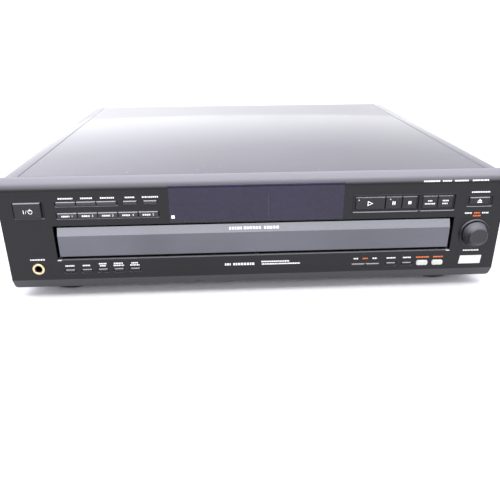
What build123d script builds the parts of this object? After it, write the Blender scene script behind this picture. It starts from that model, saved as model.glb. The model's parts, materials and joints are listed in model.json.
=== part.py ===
"""Multi disc CD changer: a carousel drawer, its loading works, electronics and case.

Lengths are in millimetres. Every piece is drawn in the face's own frame: X to the right, Y back from
the front face, Z up from the face's bottom edge. save() then moves it to the saved frame, whose origin
lies under the middle of the whole box, on the surface that the feet stand on.
"""
import os
from math import acos, atan2, cos, degrees, pi, radians, sin, sqrt, tan

from build123d import *

# ---- driving dimensions: case -------------------------------------------------------------------
PANEL_WIDTH = 430.0
PANEL_TOP = 90.0  # the cover's top, above the face's bottom edge
PANEL_WALL = 3.0
PANEL_DEPTH = 12.0  # from the face back to the cover's seam
LIP_RADIUS = 10.0  # where the face rolls over into the top
CHIN_DROP = 9.0  # the chamfer below the face
CHIN_SETBACK = 4.5
PANEL_CORNER = 2.5
TONGUE_INSET = 22.0
TONGUE_REACH = 5.0  # under the cover's front edge
TONGUE_SHEET = 2.0
COVER_INSET = 3.0  # each side of the cover, inside the panel's end
COVER_SHEET = 1.0
COVER_BEVEL = 13.0  # the sloping strip along each side of the top
COVER_FALL = 1.6
REAR_DEPTH = 382.0  # the rear panel's outer face, behind the front face
CHASSIS_SHEET = 1.0
CHASSIS_INSET = 2.0  # each side of the pan, inside the cover
CHASSIS_FLANGE = 26.0
PAN_RIB = (60.0, 190.0)  # where the pressed ribs start and end
PAN_RIB_X = 90.0
PAN_RIB_HOLLOW = 1.8
PAN_VENT = (70.0, 130.0)
PAN_VENT_FRONT = 250.0
PAN_VENT_ROWS = 8
VENT_PITCH = 9.0
VENT_WIDTH = 3.0
REAR_VENT = (20.0, 55.0, 75.0)  # first slot's left side, then the slots' ends
REAR_VENT_SLOTS = 12
REAR_FLANGE = 9.0
FOOT_HEIGHT = 12.0
FOOT_RADIUS = 23.0
FOOT_INSET = 43.0  # a foot's middle, from the panel's end
FOOT_FRONT = 42.0
FOOT_REAR = 338.0
PAD_THICKNESS = 1.5
PAD_RADIUS = 17.0

# ---- driving dimensions: drawer and carousel ----------------------------------------------------
SLOT_WIDTH = 346.0
SLOT_BASE = 18.5
SLOT_HEIGHT = 31.5
DRAWER_GAP = 2.6  # between the drawer's front and the slot's edge
DRAWER_TRAVEL = 220.0
TRAY_WIDTH = 330.0
TRAY_BASE = 24.0
TRAY_FLOOR = 2.5
TRAY_TOP = 42.0
TRAY_WALL = 3.0
TRAY_STRAIGHT = 300.0  # where the tray's straight sides end
RUNNER_WIDTH = 5.0
RUNNER_HEIGHT = 4.0
CAROUSEL_DEPTH = 180.0  # the carousel's axis, behind the face
CAROUSEL_RADIUS = 163.0
CAROUSEL_BASE = 34.0
CAROUSEL_TOP = 41.5
WELLS = 5
WELL_RING = 103.0  # from the carousel's axis to each disc's centre
WELL_RADIUS = 60.6
WELL_FLOOR = 2.5
WELL_EYE = 21.0  # the open eye in a well's middle; its slot to the rim is as wide
HUB_RADIUS = 6.0
CAROUSEL_EDGE = 0.8

# ---- driving dimensions: works ------------------------------------------------------------------
DECK_BASE = 15.0
DECK_SHEET = 3.0
DECK_WIDTH = 352.0
DECK_FRONT = 24.0
DECK_REAR = 362.0
DECK_RAIL_REAR = 300.0
UNIT_WIDTH = 80.0
UNIT_FRONT = 244.0
UNIT_REAR = 360.0
UNIT_TOP = 19.2  # the lifting frame's top when it is down
UNIT_PLATE = 2.5
UNIT_HEIGHT = 14.0
UNIT_LANE = 27.0  # half the pickup's opening
EAR_SPAN = (296.0, 304.0)
GUIDE_SPAN = (286.0, 314.0)
OPENING_MARGIN = 8.0  # between the lifting frame and the openings round it
SEAT_RADIUS = 14.0
CONE_BASE = 7.4  # the disc's own hole is 7.5 in radius
CONE_TIP = 5.6
CONE_HEIGHT = 2.5
LIFT_TRAVEL = 13.8
SEAT_RISE = 11.5  # the turntable's seat above the lifting frame
PICKUP_START = 23.0  # lens to disc centre, at the innermost track
BRIDGE_BASE = 53.0
BRIDGE_SHEET = 3.0
GEAR_MODULE = 1.5
FINE_MODULE = 1.0
PINION_TEETH = 14
RING_TEETH = 48
WHEEL_TEETH = 42
BACKLASH = 0.12

# ---- driving dimensions: controls ---------------------------------------------------------------
KEY_GAP = 0.25  # round a key, in its hole
KEY_FLANGE = 0.8  # beyond the hole, behind the face
KEY_EDGE = 0.5  # the softened edge of a key's face
KEY_CORNER = 0.5
PALE_HEIGHT = 4.7
PALE_CORNER = 1.7
STEM_HALF = 1.5
PLUNGER_RADIUS = 1.1
KEY_STOP = 4.8  # depth of a key's own body behind the face
BOARD_FACE = 12.0
BOARD_MARGIN = 8.0
BOARD_TOP = 80.0
BOARD_LOW = -5.0
BOARD_SHEET = 1.6
SWITCH_SIZE = 4.5
SWITCH_FACE = 8.0  # depth of a switch's plunger tip
SWITCH_GAP = 0.6
WINDOW_WIDTH = 148.5
WINDOW_BASE = 51.0
WINDOW_TOP = 84.0
WINDOW_SHEET = 2.0
WINDOW_LEDGE = 6.0  # glued rim behind the window
KNOB_INSET = 22.1  # the dial's middle, from the panel's end
KNOB_Z = 34.0
KNOB_EDGE = 1.0
SKIRT_RADIUS = 11.4  # the dial's flared foot, before its collar
SKIRT_REAR = 2.0
SKIRT_FRONT = 7.6
ENCODER_HALF = 6.0
KNOB_RADIUS = 8.3
KNOB_REACH = 10.0
COLLAR_RADIUS = 13.4
COLLAR_REACH = 1.2
SPINDLE_RADIUS = 3.0
SOCKET_INSET = 24.7
SOCKET_Z = 11.0
SOCKET_BORE = 3.2
SOCKET_RING = 5.2
SOCKET_HALF = 7.5  # half the socket body's width
SOCKET_DEPTH = 30.0
JACK_REACH = 9.0
JACK_RADIUS = 4.15

DIMPLE_DEPTH = 0.7  # the round-ended recess of a small key
DIMPLE_WIDE = 3.2
DIMPLE_HIGH = 2.2
SMALL_KEY = (9.0, 3.0)  # keys below this width and height lie in a dimple
RECESS_CORNER = 1.2
RECESS_FLARE = 0.45
BOARD_POST = 2.2

# ---- driving dimensions: small works ------------------------------------------------------------
SCREW_RADIUS = 1.75
SCREW_HEAD = 4.0
COVER_SIDE_SCREWS = [(90.0, 10.0), (320.0, 10.0)]
BOARD_BASE = -2.0
BOARD_AREA = (-168.0, -60.0, 214.0)  # the main board's left, right and front edges
# Chips and the ribbon connector: left, right, front, rear, height.
BOARD_CHIPS = [
    (-128.0, -108.0, 250.0, 270.0, 2.5),
    (-140.0, -126.0, 226.0, 234.0, 2.5),
    (-90.0, -64.0, 222.0, 230.0, 7.0),
]
# Capacitors: middle x, middle y, radius, height.
BOARD_CANS = [
    (-160.0, 270.0, 5.0, 13.0),
    (-146.0, 286.0, 4.0, 11.0),
    (-158.0, 312.0, 6.3, 13.0),
    (-100.0, 300.0, 3.2, 8.0),
    (-84.0, 320.0, 3.2, 8.0),
]
JACK_X = -140.0
JACK_HEIGHTS = (8.0, 22.0)
OPTICAL_X = -105.0
OPTICAL_Z = 10.0
GLAND_X = 150.0
GLAND_Z = 8.0
GLAND_NECK = 6.0
GLAND_BORE = 3.4
GLAND_FLANGE = 1.5
TRANSFORMER_INSET = 33.0  # its middle, from the pan's side
TRANSFORMER_DEPTH = 343.0
CORE_HALF = (25.0, 18.0)
COIL_HALF = (17.0, 24.0)
CORE_HEIGHT = 40.0
COIL_MARGIN = 6.0
AUDIO_HALF = 7.0
OPTICAL_HALF = 6.5
OPTICAL_NOSE = 5.0
OPTICAL_PORT = 4.0
SOCKET_BLOCK = 13.0  # how deep the rear sockets' blocks reach in
PIN_BORE = 1.6
RACK_X = -150.0  # the rack's pitch line
PINION_Y = 52.0
RACK_WIDTH = 6.0
PINION_SHAFT = 4.0
PULLEY_RADIUS = 19.0
PULLEY_BASE = -3.0
WHEEL_BASE = 10.0
LOADER_REACH = 55.0
MOTOR_X = -135.0
MOTOR_Y = 30.0
GEAR_BASE = 29.4
BELT_HEIGHT = 1.6
CPULLEY_RADIUS = 13.0
MPULLEY_RADIUS = 4.0
CAM_Y = 236.0
CAM_SHEET = 2.5
CAM_PIN_X = 22.0
CAM_PIN_Z = 8.0
CAM_PIN_RADIUS = 2.0
SPINDLE_CAN = 11.5
ROD_X = 20.0
ROD_RADIUS = 1.5
CLAMP_HOLE = 15.5
DRAWER_SHEET = 5.5  # the drawer front's thickness
DRAWER_BEVEL = 6.9  # height of the bright slope along its top
DRAWER_SET = 0.2  # how far its face lies behind the panel's

PAD_LIFT = 3.0  # feet under the transformer

# ---- clearances ---------------------------------------------------------------------------------
RUN = 0.05  # a shaft in its bore, on the radius
FIT = 0.3  # between pieces that only pass each other
SLACK = 1.0  # between large moving pieces
OVERLAP = 0.2  # how far joined forms run into each other

# ---- worked out ---------------------------------------------------------------------------------
COVER_WIDTH = PANEL_WIDTH - 2 * COVER_INSET
CHASSIS_WIDTH = COVER_WIDTH - 2 * CHASSIS_INSET
FOOT_X = PANEL_WIDTH / 2 - FOOT_INSET
KNOB_X = PANEL_WIDTH / 2 - KNOB_INSET
SOCKET_X = SOCKET_INSET - PANEL_WIDTH / 2
BOX_MIDDLE = (REAR_DEPTH + JACK_REACH - KNOB_REACH) / 2
CHASSIS_BASE = -(CHIN_DROP - CHASSIS_SHEET)
GROUND = CHASSIS_BASE - FOOT_HEIGHT
SHIFT = Location((0, -BOX_MIDDLE, -GROUND))
CHASSIS_TOP = CHASSIS_BASE + CHASSIS_SHEET
COVER_INSIDE = PANEL_TOP - COVER_SHEET
PLAY_DEPTH = CAROUSEL_DEPTH + WELL_RING
DECK_TOP = DECK_BASE + DECK_SHEET
SLOT_TOP = SLOT_BASE + SLOT_HEIGHT
SEAT_DOWN = UNIT_TOP + SEAT_RISE
SEAT_UP = SEAT_DOWN + LIFT_TRAVEL
TRAY_INSIDE = TRAY_BASE + TRAY_FLOOR
PINION_RADIUS = GEAR_MODULE * PINION_TEETH / 2
RACK_BASE = DECK_TOP + SLACK
RACK_PITCH = pi * GEAR_MODULE
PINION_X = RACK_X + PINION_RADIUS
PULLEY_X = PINION_X + FINE_MODULE * (WHEEL_TEETH + PINION_TEETH) / 2
LOADER_X = PULLEY_X + LOADER_REACH
RING_RADIUS = GEAR_MODULE * RING_TEETH / 2
CGEAR_DISTANCE = RING_RADIUS + PINION_RADIUS
CGEAR_X = -CGEAR_DISTANCE * cos(radians(45))
CGEAR_Y = CAROUSEL_DEPTH - CGEAR_DISTANCE * sin(radians(45))
BELT_BASE = TRAY_INSIDE + 0.5
RAIL_INSIDE = TRAY_WIDTH / 2 + RUNNER_WIDTH + SLACK
RAIL_TOP = DECK_TOP + 16
ROD_Z = UNIT_TOP - 6.5

# Each key: name, middle x, middle z, width, height, how far it stands proud of its surround.
TOP_ROW = 69.5
DISC_ROW = 59.1
LOWER_ROW = 7.9
SEARCH_ROW = 6.3
TRANSPORT_ROW = 63.8
MODE_PITCH = 16.7
DISC_PITCH = 16.85
KEYS = [
    ("power_key", -191.0, 64.4, 22.0, 13.8, 2.5),
    ("repeat_key", -106.3, TOP_ROW, 11.2, 3.6, 1.2),
    ("time_key", -89.6, TOP_ROW, 11.2, 3.6, 1.2),
    ("open_close_key", 193.0, 64.4, 17.6, 6.4, 1.4),
    ("index_key", -163.5, LOWER_ROW, 8.2, 2.8, 1.2),
    ("fade_key", -149.0, LOWER_ROW, 8.2, 2.8, 1.2),
    ("edit_key", -135.2, LOWER_ROW, 8.2, 2.8, 1.2),
    ("file_key", -121.4, LOWER_ROW, 8.2, 2.8, 1.2),
    ("peak_key", -107.3, LOWER_ROW, 8.2, 2.8, 1.2),
    ("check_key", 120.6, SEARCH_ROW, 8.4, 2.6, 1.2),
    ("clear_key", 135.2, SEARCH_ROW, 8.4, 2.6, 1.2),
    ("delay_key", 149.1, 7.0, 10.2, PALE_HEIGHT, 1.6),
    ("crossfade_key", 163.1, 7.0, 10.0, PALE_HEIGHT, 1.6),
]
for number, mode in enumerate(("continue_key", "shuffle_key", "program_key")):
    KEYS.append((mode, -159.3 + number * MODE_PITCH, TOP_ROW, MODE_PITCH - 2 * KEY_GAP, 3.6, 1.2))
for number in range(WELLS):
    name = f"disc_{number + 1}_key"
    KEYS.append((name, -159.3 + number * DISC_PITCH, DISC_ROW, DISC_PITCH - 2 * KEY_GAP, 4.8, 1.2))
for name, left, right in (
    ("play_key", 84.5, 110.7),
    ("pause_key", 110.7, 125.3),
    ("stop_key", 125.3, 138.5),
    ("exchange_key", 143.0, 156.5),
    ("skip_key", 156.5, 170.0),
):
    KEYS.append((name, (left + right) / 2, TRANSPORT_ROW, right - left - 2 * KEY_GAP, 11.4, 0.8))
for name, left, right in (("search_back_key", 84.6, 97.4), ("search_forward_key", 97.4, 110.2)):
    KEYS.append((name, (left + right) / 2, SEARCH_ROW, right - left - 2 * KEY_GAP, 2.6, 1.2))

# Shallow recesses round the keys: middle x, middle z, width, height, depth.
TRANSPORT_RECESS = 1.5
RECESSES = [
    (111.0, 63.8, 57.2, 14.9, TRANSPORT_RECESS),
    (156.3, 63.8, 30.4, 14.9, TRANSPORT_RECESS),
    (193.2, 64.2, 22.5, 9.6, 1.0),
    (-190.4, 64.4, 24.6, 14.6, 0.8),
    (-142.4, TOP_ROW, 51.6, 4.6, 0.6),
    (-125.6, DISC_ROW, 85.4, 5.8, 0.6),
]


# ---- small helpers ------------------------------------------------------------------------------
def block(x0, x1, y0, y1, z0, z1):
    """A box between two corners."""
    middle = ((x0 + x1) / 2, (y0 + y1) / 2, (z0 + z1) / 2)
    return Pos(*middle) * Box(x1 - x0, y1 - y0, z1 - z0)


def post(x, y, z0, z1, radius):
    """An upright round bar."""
    return Pos(x, y, (z0 + z1) / 2) * Cylinder(radius, z1 - z0)


def rod(x, z, y0, y1, radius):
    """A round bar that runs front to back."""
    return Pos(x, (y0 + y1) / 2, z) * Rot(90, 0, 0) * Cylinder(radius, y1 - y0)


def frontal_square(x, z, half, y0, y1):
    """A square bar that runs front to back."""
    return block(x - half, x + half, y0, y1, z - half, z + half)


def plate(x, z, y0, y1, width, height, corner, taper=0):
    """A bar with rounded corners in front view; a taper narrows it towards the rear."""
    sketch = Plane.XZ.offset(-y0) * Pos(x, z) * RectangleRounded(width, height, corner)
    return extrude(sketch, -(y1 - y0), taper=taper)


def pill(x, z, y0, y1, width, height):
    """A bar with round ends in front view."""
    sketch = Plane.XZ.offset(-y0) * Pos(x, z) * SlotOverall(width, height)
    return extrude(sketch, -(y1 - y0))


def save(name, *solids):
    """Write one node, as a group of its separate solids, in the saved frame."""
    pieces = []
    for solid in solids:
        pieces += solid.solids()
    moved = [piece.moved(SHIFT) for piece in pieces]
    shape = moved[0] if len(moved) == 1 else Compound(children=moved)
    export_step(shape, f"parts/{name}.step")


def involute_gear(teeth, module, width, turn=0.0):
    """A spur gear that stands on the XY plane, one tooth's middle on +X before it is turned."""
    pitch = module * teeth / 2
    tip = pitch + 0.8 * module
    root = pitch - 1.05 * module
    base = pitch * cos(radians(20))
    half = pi / (2 * teeth) - BACKLASH / (2 * pitch)

    def offset(radius):
        if radius <= base:
            return half + tan(radians(20)) - radians(20)
        angle = acos(base / radius)
        return half + tan(radians(20)) - radians(20) - (tan(angle) - angle)

    radii = [root, max(root, base) + 0.02, pitch, tip]
    points = []
    for tooth in range(teeth):
        middle = 2 * pi * tooth / teeth + radians(turn)
        flank = [(radius, middle - offset(radius)) for radius in radii]
        flank += [(radius, middle + offset(radius)) for radius in reversed(radii)]
        points += [(radius * cos(angle), radius * sin(angle)) for radius, angle in flank]
    return extrude(make_face(Polyline(*points, close=True)), width)


def is_small(width, height):
    """Whether a key is one of the small ones that lie in a dimple."""
    return width < SMALL_KEY[0] and height < SMALL_KEY[1]


def key_corner(height):
    """A key's corner radius in front view: the pale keys are nearly round-ended."""
    return PALE_CORNER if height == PALE_HEIGHT else KEY_CORNER


def surround(x, z, width, height):
    """How deep the face lies round a key."""
    for rx, rz, rw, rh, depth in RECESSES:
        if abs(x - rx) < rw / 2 and abs(z - rz) < rh / 2:
            return depth
    return DIMPLE_DEPTH if is_small(width, height) else 0.0


# ---- case ---------------------------------------------------------------------------------------
def panel_body(inset):
    """The front panel's outer form, or a smaller copy of it, as a solid that reaches the seam."""
    half = PANEL_WIDTH / 2 - inset
    top = PANEL_TOP - inset
    sketch = make_face(
        Polyline(
            (inset, inset * 0.4),
            (CHIN_SETBACK + inset * 0.4, inset - CHIN_DROP),
            (PANEL_DEPTH + inset, inset - CHIN_DROP),
            (PANEL_DEPTH + inset, top),
            (inset, top),
            close=True,
        )
    )
    solid = extrude(Plane.YZ.offset(-half) * sketch, 2 * half)
    lip = solid.edges().filter_by(Axis.X).group_by(Axis.Z)[-1].sort_by(Axis.Y)[0]
    return fillet(lip, LIP_RADIUS - inset)


def front_panel():
    """The moulded face, with its slot, window seat, key holes, recesses and board posts."""
    outer = panel_body(0)
    corners = outer.edges().filter_by(Axis.Y).group_by(Axis.Z)[0]
    outer = fillet(corners, PANEL_CORNER)
    body = outer - panel_body(PANEL_WALL)
    tongue = PANEL_TOP - COVER_SHEET - FIT
    span = COVER_WIDTH / 2 - TONGUE_INSET
    body += block(-span, span, PANEL_DEPTH - 1, PANEL_DEPTH + TONGUE_REACH, tongue - TONGUE_SHEET, tongue)
    body -= block(
        -SLOT_WIDTH / 2, SLOT_WIDTH / 2, -1, PANEL_WALL + 1, SLOT_BASE, SLOT_TOP
    )
    half = WINDOW_WIDTH / 2
    seat = panel_body(0) - panel_body(WINDOW_SHEET + 0.1)
    body -= seat & block(-half - 0.1, half + 0.1, -1, PANEL_DEPTH, WINDOW_BASE - 0.1, WINDOW_TOP + 0.1)
    side = half - WINDOW_LEDGE
    body -= block(-side, side, -1, PANEL_WALL + 2, WINDOW_BASE + WINDOW_LEDGE / 2, WINDOW_TOP - WINDOW_LEDGE)
    for x, z, width, height, depth in RECESSES:
        body -= plate(x, z, -1, depth, width, height, RECESS_CORNER)
        mouth = (width + 2 * RECESS_FLARE, height + 2 * RECESS_FLARE)
        body -= plate(x, z, 0, RECESS_FLARE, *mouth, RECESS_CORNER + RECESS_FLARE, 45)
    for _, x, z, width, height, _ in KEYS:
        hole = (width + 2 * KEY_GAP, height + 2 * KEY_GAP)
        body -= plate(x, z, -1, PANEL_WALL + 1, *hole, key_corner(height) + KEY_GAP)
        if is_small(width, height):
            body -= pill(x, z, -1, DIMPLE_DEPTH, width + DIMPLE_WIDE, height + DIMPLE_HIGH)
    body += rod(KNOB_X, KNOB_Z, -COLLAR_REACH, 1, COLLAR_RADIUS)
    body -= rod(KNOB_X, KNOB_Z, -5, PANEL_WALL + 1, KNOB_RADIUS + 0.6)
    body -= rod(SOCKET_X, SOCKET_Z, -1, PANEL_WALL + 1, SOCKET_RING - 0.7 + FIT / 3)
    for x in (-175, 0, 176):
        for z in (14.5, 55.5):
            if not (x == 0 and z > 50):
                body += rod(x, z, PANEL_WALL - 0.5, BOARD_FACE, BOARD_POST)
    return body


def display_window():
    """The tinted window, a skin that follows the face and its lip."""
    half = WINDOW_WIDTH / 2
    skin = panel_body(0) - panel_body(WINDOW_SHEET)
    return skin & block(-half, half, -1, PANEL_DEPTH, WINDOW_BASE, WINDOW_TOP)


def bottom_chassis():
    """The steel pan, with side and front flanges, pressed ribs, vents and board posts."""
    half = CHASSIS_WIDTH / 2
    front = PANEL_DEPTH
    rear = REAR_DEPTH - CHASSIS_SHEET
    body = block(-half, half, front, rear, CHASSIS_BASE, CHASSIS_TOP)
    for side in (-1, 1):
        edges = sorted((side * half, side * (half - CHASSIS_SHEET)))
        body += block(*edges, front, rear, CHASSIS_BASE, CHASSIS_BASE + CHASSIS_FLANGE)
    flange = BOARD_FACE + BOARD_SHEET + 5
    span = DECK_WIDTH / 2 + 4
    body += block(-span, span, flange, flange + CHASSIS_SHEET, CHASSIS_BASE, DECK_BASE - 2)
    for y, z in COVER_SIDE_SCREWS:
        body -= Pos(0, y, z) * Rot(0, 90, 0) * Cylinder(SCREW_RADIUS + RUN, COVER_WIDTH)
    start, end = PAN_RIB
    for x in (-PAN_RIB_X, PAN_RIB_X):
        body += block(x - 4, x + 4, start, end, CHASSIS_TOP - OVERLAP, CHASSIS_TOP + 2)
        body -= block(x - 3, x + 3, start + 1, end - 1, CHASSIS_BASE - 1, CHASSIS_BASE + PAN_RIB_HOLLOW)
    left, right = PAN_VENT
    for row in range(PAN_VENT_ROWS):
        depth = PAN_VENT_FRONT + row * VENT_PITCH
        body -= block(left, right, depth, depth + VENT_WIDTH, CHASSIS_BASE - 1, CHASSIS_TOP + 1)
    for x in (-162, -66):
        for y in (226, 366):
            body += post(x, y, CHASSIS_TOP - 0.2, BOARD_BASE, 3)
    return body


def rear_panel():
    """The rear steel sheet, with the sockets' holes, the cord's hole and a vent row."""
    half = CHASSIS_WIDTH / 2
    front = REAR_DEPTH - CHASSIS_SHEET
    top = COVER_INSIDE - COVER_FALL - FIT
    body = block(-half, half, front, REAR_DEPTH, CHASSIS_BASE, top)
    body += block(-half + 20, half - 20, front - REAR_FLANGE, front + OVERLAP, top - CHASSIS_SHEET, top)
    for z in JACK_HEIGHTS:
        body -= rod(JACK_X, z, front - 1, REAR_DEPTH + 1, JACK_RADIUS + 1)
    body -= frontal_square(OPTICAL_X, OPTICAL_Z, OPTICAL_NOSE + FIT, front - 1, REAR_DEPTH + 1)
    body -= rod(GLAND_X, GLAND_Z, front - 1, REAR_DEPTH + 1, GLAND_NECK)
    first, low, high = REAR_VENT
    for slot in range(REAR_VENT_SLOTS):
        x = first + slot * VENT_PITCH
        body -= block(x, x + VENT_WIDTH + 1, front - 1, REAR_DEPTH + 1, low, high)
    return body


def top_cover():
    """The folded sheet that wraps the top and both sides, with drawn-in top edges."""
    half = COVER_WIDTH / 2
    low = CHASSIS_BASE + 1.5

    def outline(inset):
        return [
            (-half + inset, low),
            (-half + inset, PANEL_TOP - COVER_FALL - inset),
            (-half + COVER_BEVEL, PANEL_TOP - inset),
            (half - COVER_BEVEL, PANEL_TOP - inset),
            (half - inset, PANEL_TOP - COVER_FALL - inset),
            (half - inset, low),
        ]

    loop = outline(0) + list(reversed(outline(COVER_SHEET)))
    front = PANEL_DEPTH + FIT
    body = extrude(Plane.XZ.offset(-front) * make_face(Polyline(*loop, close=True)), -(REAR_DEPTH - front))
    for x, z in COVER_SIDE_SCREWS:
        for side in (-1, 1):
            hole = Pos(side * half, x, z) * Rot(0, 90, 0) * Cylinder(SCREW_RADIUS + FIT, 8)
            body -= hole
    return body


def cover_screws():
    """Two crosshead screws in each side of the cover."""
    half = COVER_WIDTH / 2
    screws = []
    for y, z in COVER_SIDE_SCREWS:
        for side in (-1, 1):
            shank = Pos(side * (half - 2.5), y, z) * Rot(0, 90, 0) * Cylinder(SCREW_RADIUS, 5)
            head = Pos(side * (half + 1), y, z) * Rot(0, 90, 0) * Cylinder(SCREW_HEAD, 2)
            slot = Pos(side * (half + 2), y, z) * Box(1.2, 5, 1)
            cross = Pos(side * (half + 2), y, z) * Box(1.2, 1, 5)
            screws.append(shank + head - slot - cross)
    return screws


def feet():
    """Four moulded feet, each with its own soft pad let into the bottom."""
    pieces = []
    for x in (-FOOT_X, FOOT_X):
        for y in (FOOT_FRONT, FOOT_REAR):
            foot = post(x, y, GROUND + PAD_THICKNESS / 2, CHASSIS_BASE, FOOT_RADIUS)
            foot = fillet(foot.edges().group_by(Axis.Z)[0], 3)
            foot -= post(x, y, GROUND, GROUND + PAD_THICKNESS, PAD_RADIUS + FIT / 3)
            pieces.append(foot)
            pieces.append(post(x, y, GROUND, GROUND + PAD_THICKNESS, PAD_RADIUS))
    return pieces


# ---- electronics --------------------------------------------------------------------------------
def main_board():
    """The main board on its posts, with chips, capacitors and a ribbon connector."""
    y1 = REAR_DEPTH - 6
    top = BOARD_BASE + BOARD_SHEET
    left, right, front = BOARD_AREA
    body = block(left, right, front, y1, BOARD_BASE, top)
    for x0, x1, y0, depth, height in BOARD_CHIPS:
        body += block(x0, x1, y0, depth, top - OVERLAP, top + height)
    for x, y, radius, height in BOARD_CANS:
        body += post(x, y, top - OVERLAP, top + height, radius)
    return body


def control_board():
    """The board behind the face: switches, the dial's encoder and a slot for the drawer."""
    rear = BOARD_FACE + BOARD_SHEET
    edge = PANEL_WIDTH / 2 - BOARD_MARGIN
    body = block(-edge, edge, BOARD_FACE, rear, SLOT_TOP + 1.5, BOARD_TOP)
    body += block(SLOT_WIDTH / 2 + 4.5, edge, BOARD_FACE, rear, BOARD_LOW, BOARD_TOP)
    body += block(-SLOT_WIDTH / 2 - 5, edge, BOARD_FACE, rear, BOARD_LOW, SLOT_BASE - 1.5)
    for _, x, z, _, _, _ in KEYS:
        half = SWITCH_SIZE / 2
        body += block(x - half, x + half, SWITCH_FACE + 1, BOARD_FACE + OVERLAP, z - half, z + half)
        body += rod(x, z, SWITCH_FACE, SWITCH_FACE + 1.2, PLUNGER_RADIUS)
    body += frontal_square(KNOB_X, KNOB_Z, ENCODER_HALF, 6, BOARD_FACE + OVERLAP)
    body -= rod(KNOB_X, KNOB_Z, 5, 10 + FIT, SPINDLE_RADIUS + RUN)
    return body


def display_module():
    """The display tube and its spacer, on the board behind the window."""
    glass = block(-64, 64, 5.5, 10, 56, 76)
    glass += block(-68, 68, 10, BOARD_FACE, 55, 77)
    return glass


def headphone_socket():
    """A 6.35 mm socket whose threaded nose and gilt ring show in the face."""
    low = SOCKET_Z - SOCKET_HALF - 0.5
    high = SOCKET_Z + SOCKET_HALF + 0.5
    left = SOCKET_X - SOCKET_HALF
    body = block(left, SOCKET_X + SOCKET_HALF, PANEL_WALL + 0.2, SOCKET_DEPTH, low, high)
    nose = rod(SOCKET_X, SOCKET_Z, -0.2, PANEL_WALL + 1, SOCKET_RING - 0.7)
    ring = rod(SOCKET_X, SOCKET_Z, -1.2, 0, SOCKET_RING)
    return body + nose + ring - rod(SOCKET_X, SOCKET_Z, -2, SOCKET_DEPTH - 2, SOCKET_BORE)


def power_transformer():
    """Laminated core, coil and feet, in the rear corner."""
    base = CHASSIS_TOP
    x = CHASSIS_WIDTH / 2 - TRANSFORMER_INSET
    y = TRANSFORMER_DEPTH
    core_x, core_y = CORE_HALF
    coil_x, coil_y = COIL_HALF
    top = base + PAD_LIFT + CORE_HEIGHT
    core = block(x - core_x, x + core_x, y - core_y, y + core_y, base + PAD_LIFT, top)
    low = base + PAD_LIFT + COIL_MARGIN
    coil = block(x - coil_x, x + coil_x, y - coil_y, y + coil_y, low, top - COIL_MARGIN)
    foot_x = core_x + COIL_MARGIN
    foot = block(x - foot_x, x + foot_x, y - 10, y + 10, base, base + PAD_LIFT + OVERLAP)
    return core + coil + foot


def output_sockets():
    """Two round audio sockets in one block, and the square optical socket beside it."""
    rear = REAR_DEPTH - CHASSIS_SHEET
    front = rear - SOCKET_BLOCK
    top = BOARD_BASE + BOARD_SHEET
    high = JACK_HEIGHTS[-1] + OPTICAL_HALF + 1
    audio = block(JACK_X - AUDIO_HALF, JACK_X + AUDIO_HALF, front, rear, top, high)
    for z in JACK_HEIGHTS:
        audio += rod(JACK_X, z, rear - 1, REAR_DEPTH + JACK_REACH, JACK_RADIUS)
        audio -= rod(JACK_X, z, rear - 1, REAR_DEPTH + JACK_REACH + 1, PIN_BORE)
    left = OPTICAL_X - OPTICAL_HALF
    right = OPTICAL_X + OPTICAL_HALF
    optical = block(left, right, front, rear, top, OPTICAL_Z + OPTICAL_HALF)
    optical += frontal_square(OPTICAL_X, OPTICAL_Z, OPTICAL_NOSE, rear - 1, REAR_DEPTH + 1.5)
    optical -= frontal_square(OPTICAL_X, OPTICAL_Z, OPTICAL_PORT, rear - 8, REAR_DEPTH + 3)
    return [audio, optical]


def cord_gland():
    """The moulded grommet that a mains lead would pass through."""
    neck = rod(GLAND_X, GLAND_Z, REAR_DEPTH - 5, REAR_DEPTH + 3, GLAND_NECK - 0.1)
    flange = rod(GLAND_X, GLAND_Z, REAR_DEPTH, REAR_DEPTH + 2.5, GLAND_NECK + GLAND_FLANGE)
    inner = rod(GLAND_X, GLAND_Z, REAR_DEPTH - 5, REAR_DEPTH - CHASSIS_SHEET, GLAND_NECK + 1)
    return neck + flange + inner - rod(GLAND_X, GLAND_Z, REAR_DEPTH - 6, REAR_DEPTH + 4, GLAND_BORE)


# ---- drawer -------------------------------------------------------------------------------------
def tray_outline():
    """The tray's block: straight sides, then a round rear that follows the carousel."""
    half = TRAY_WIDTH / 2
    straight = block(-half, half, DRAWER_SHEET, TRAY_STRAIGHT, TRAY_BASE, TRAY_TOP)
    reach = CAROUSEL_RADIUS + TRAY_WALL + SLACK
    rear = post(0, CAROUSEL_DEPTH, TRAY_BASE, TRAY_TOP, reach)
    return straight + (rear & block(-half, half, CAROUSEL_DEPTH, 400, TRAY_BASE, TRAY_TOP))


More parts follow.
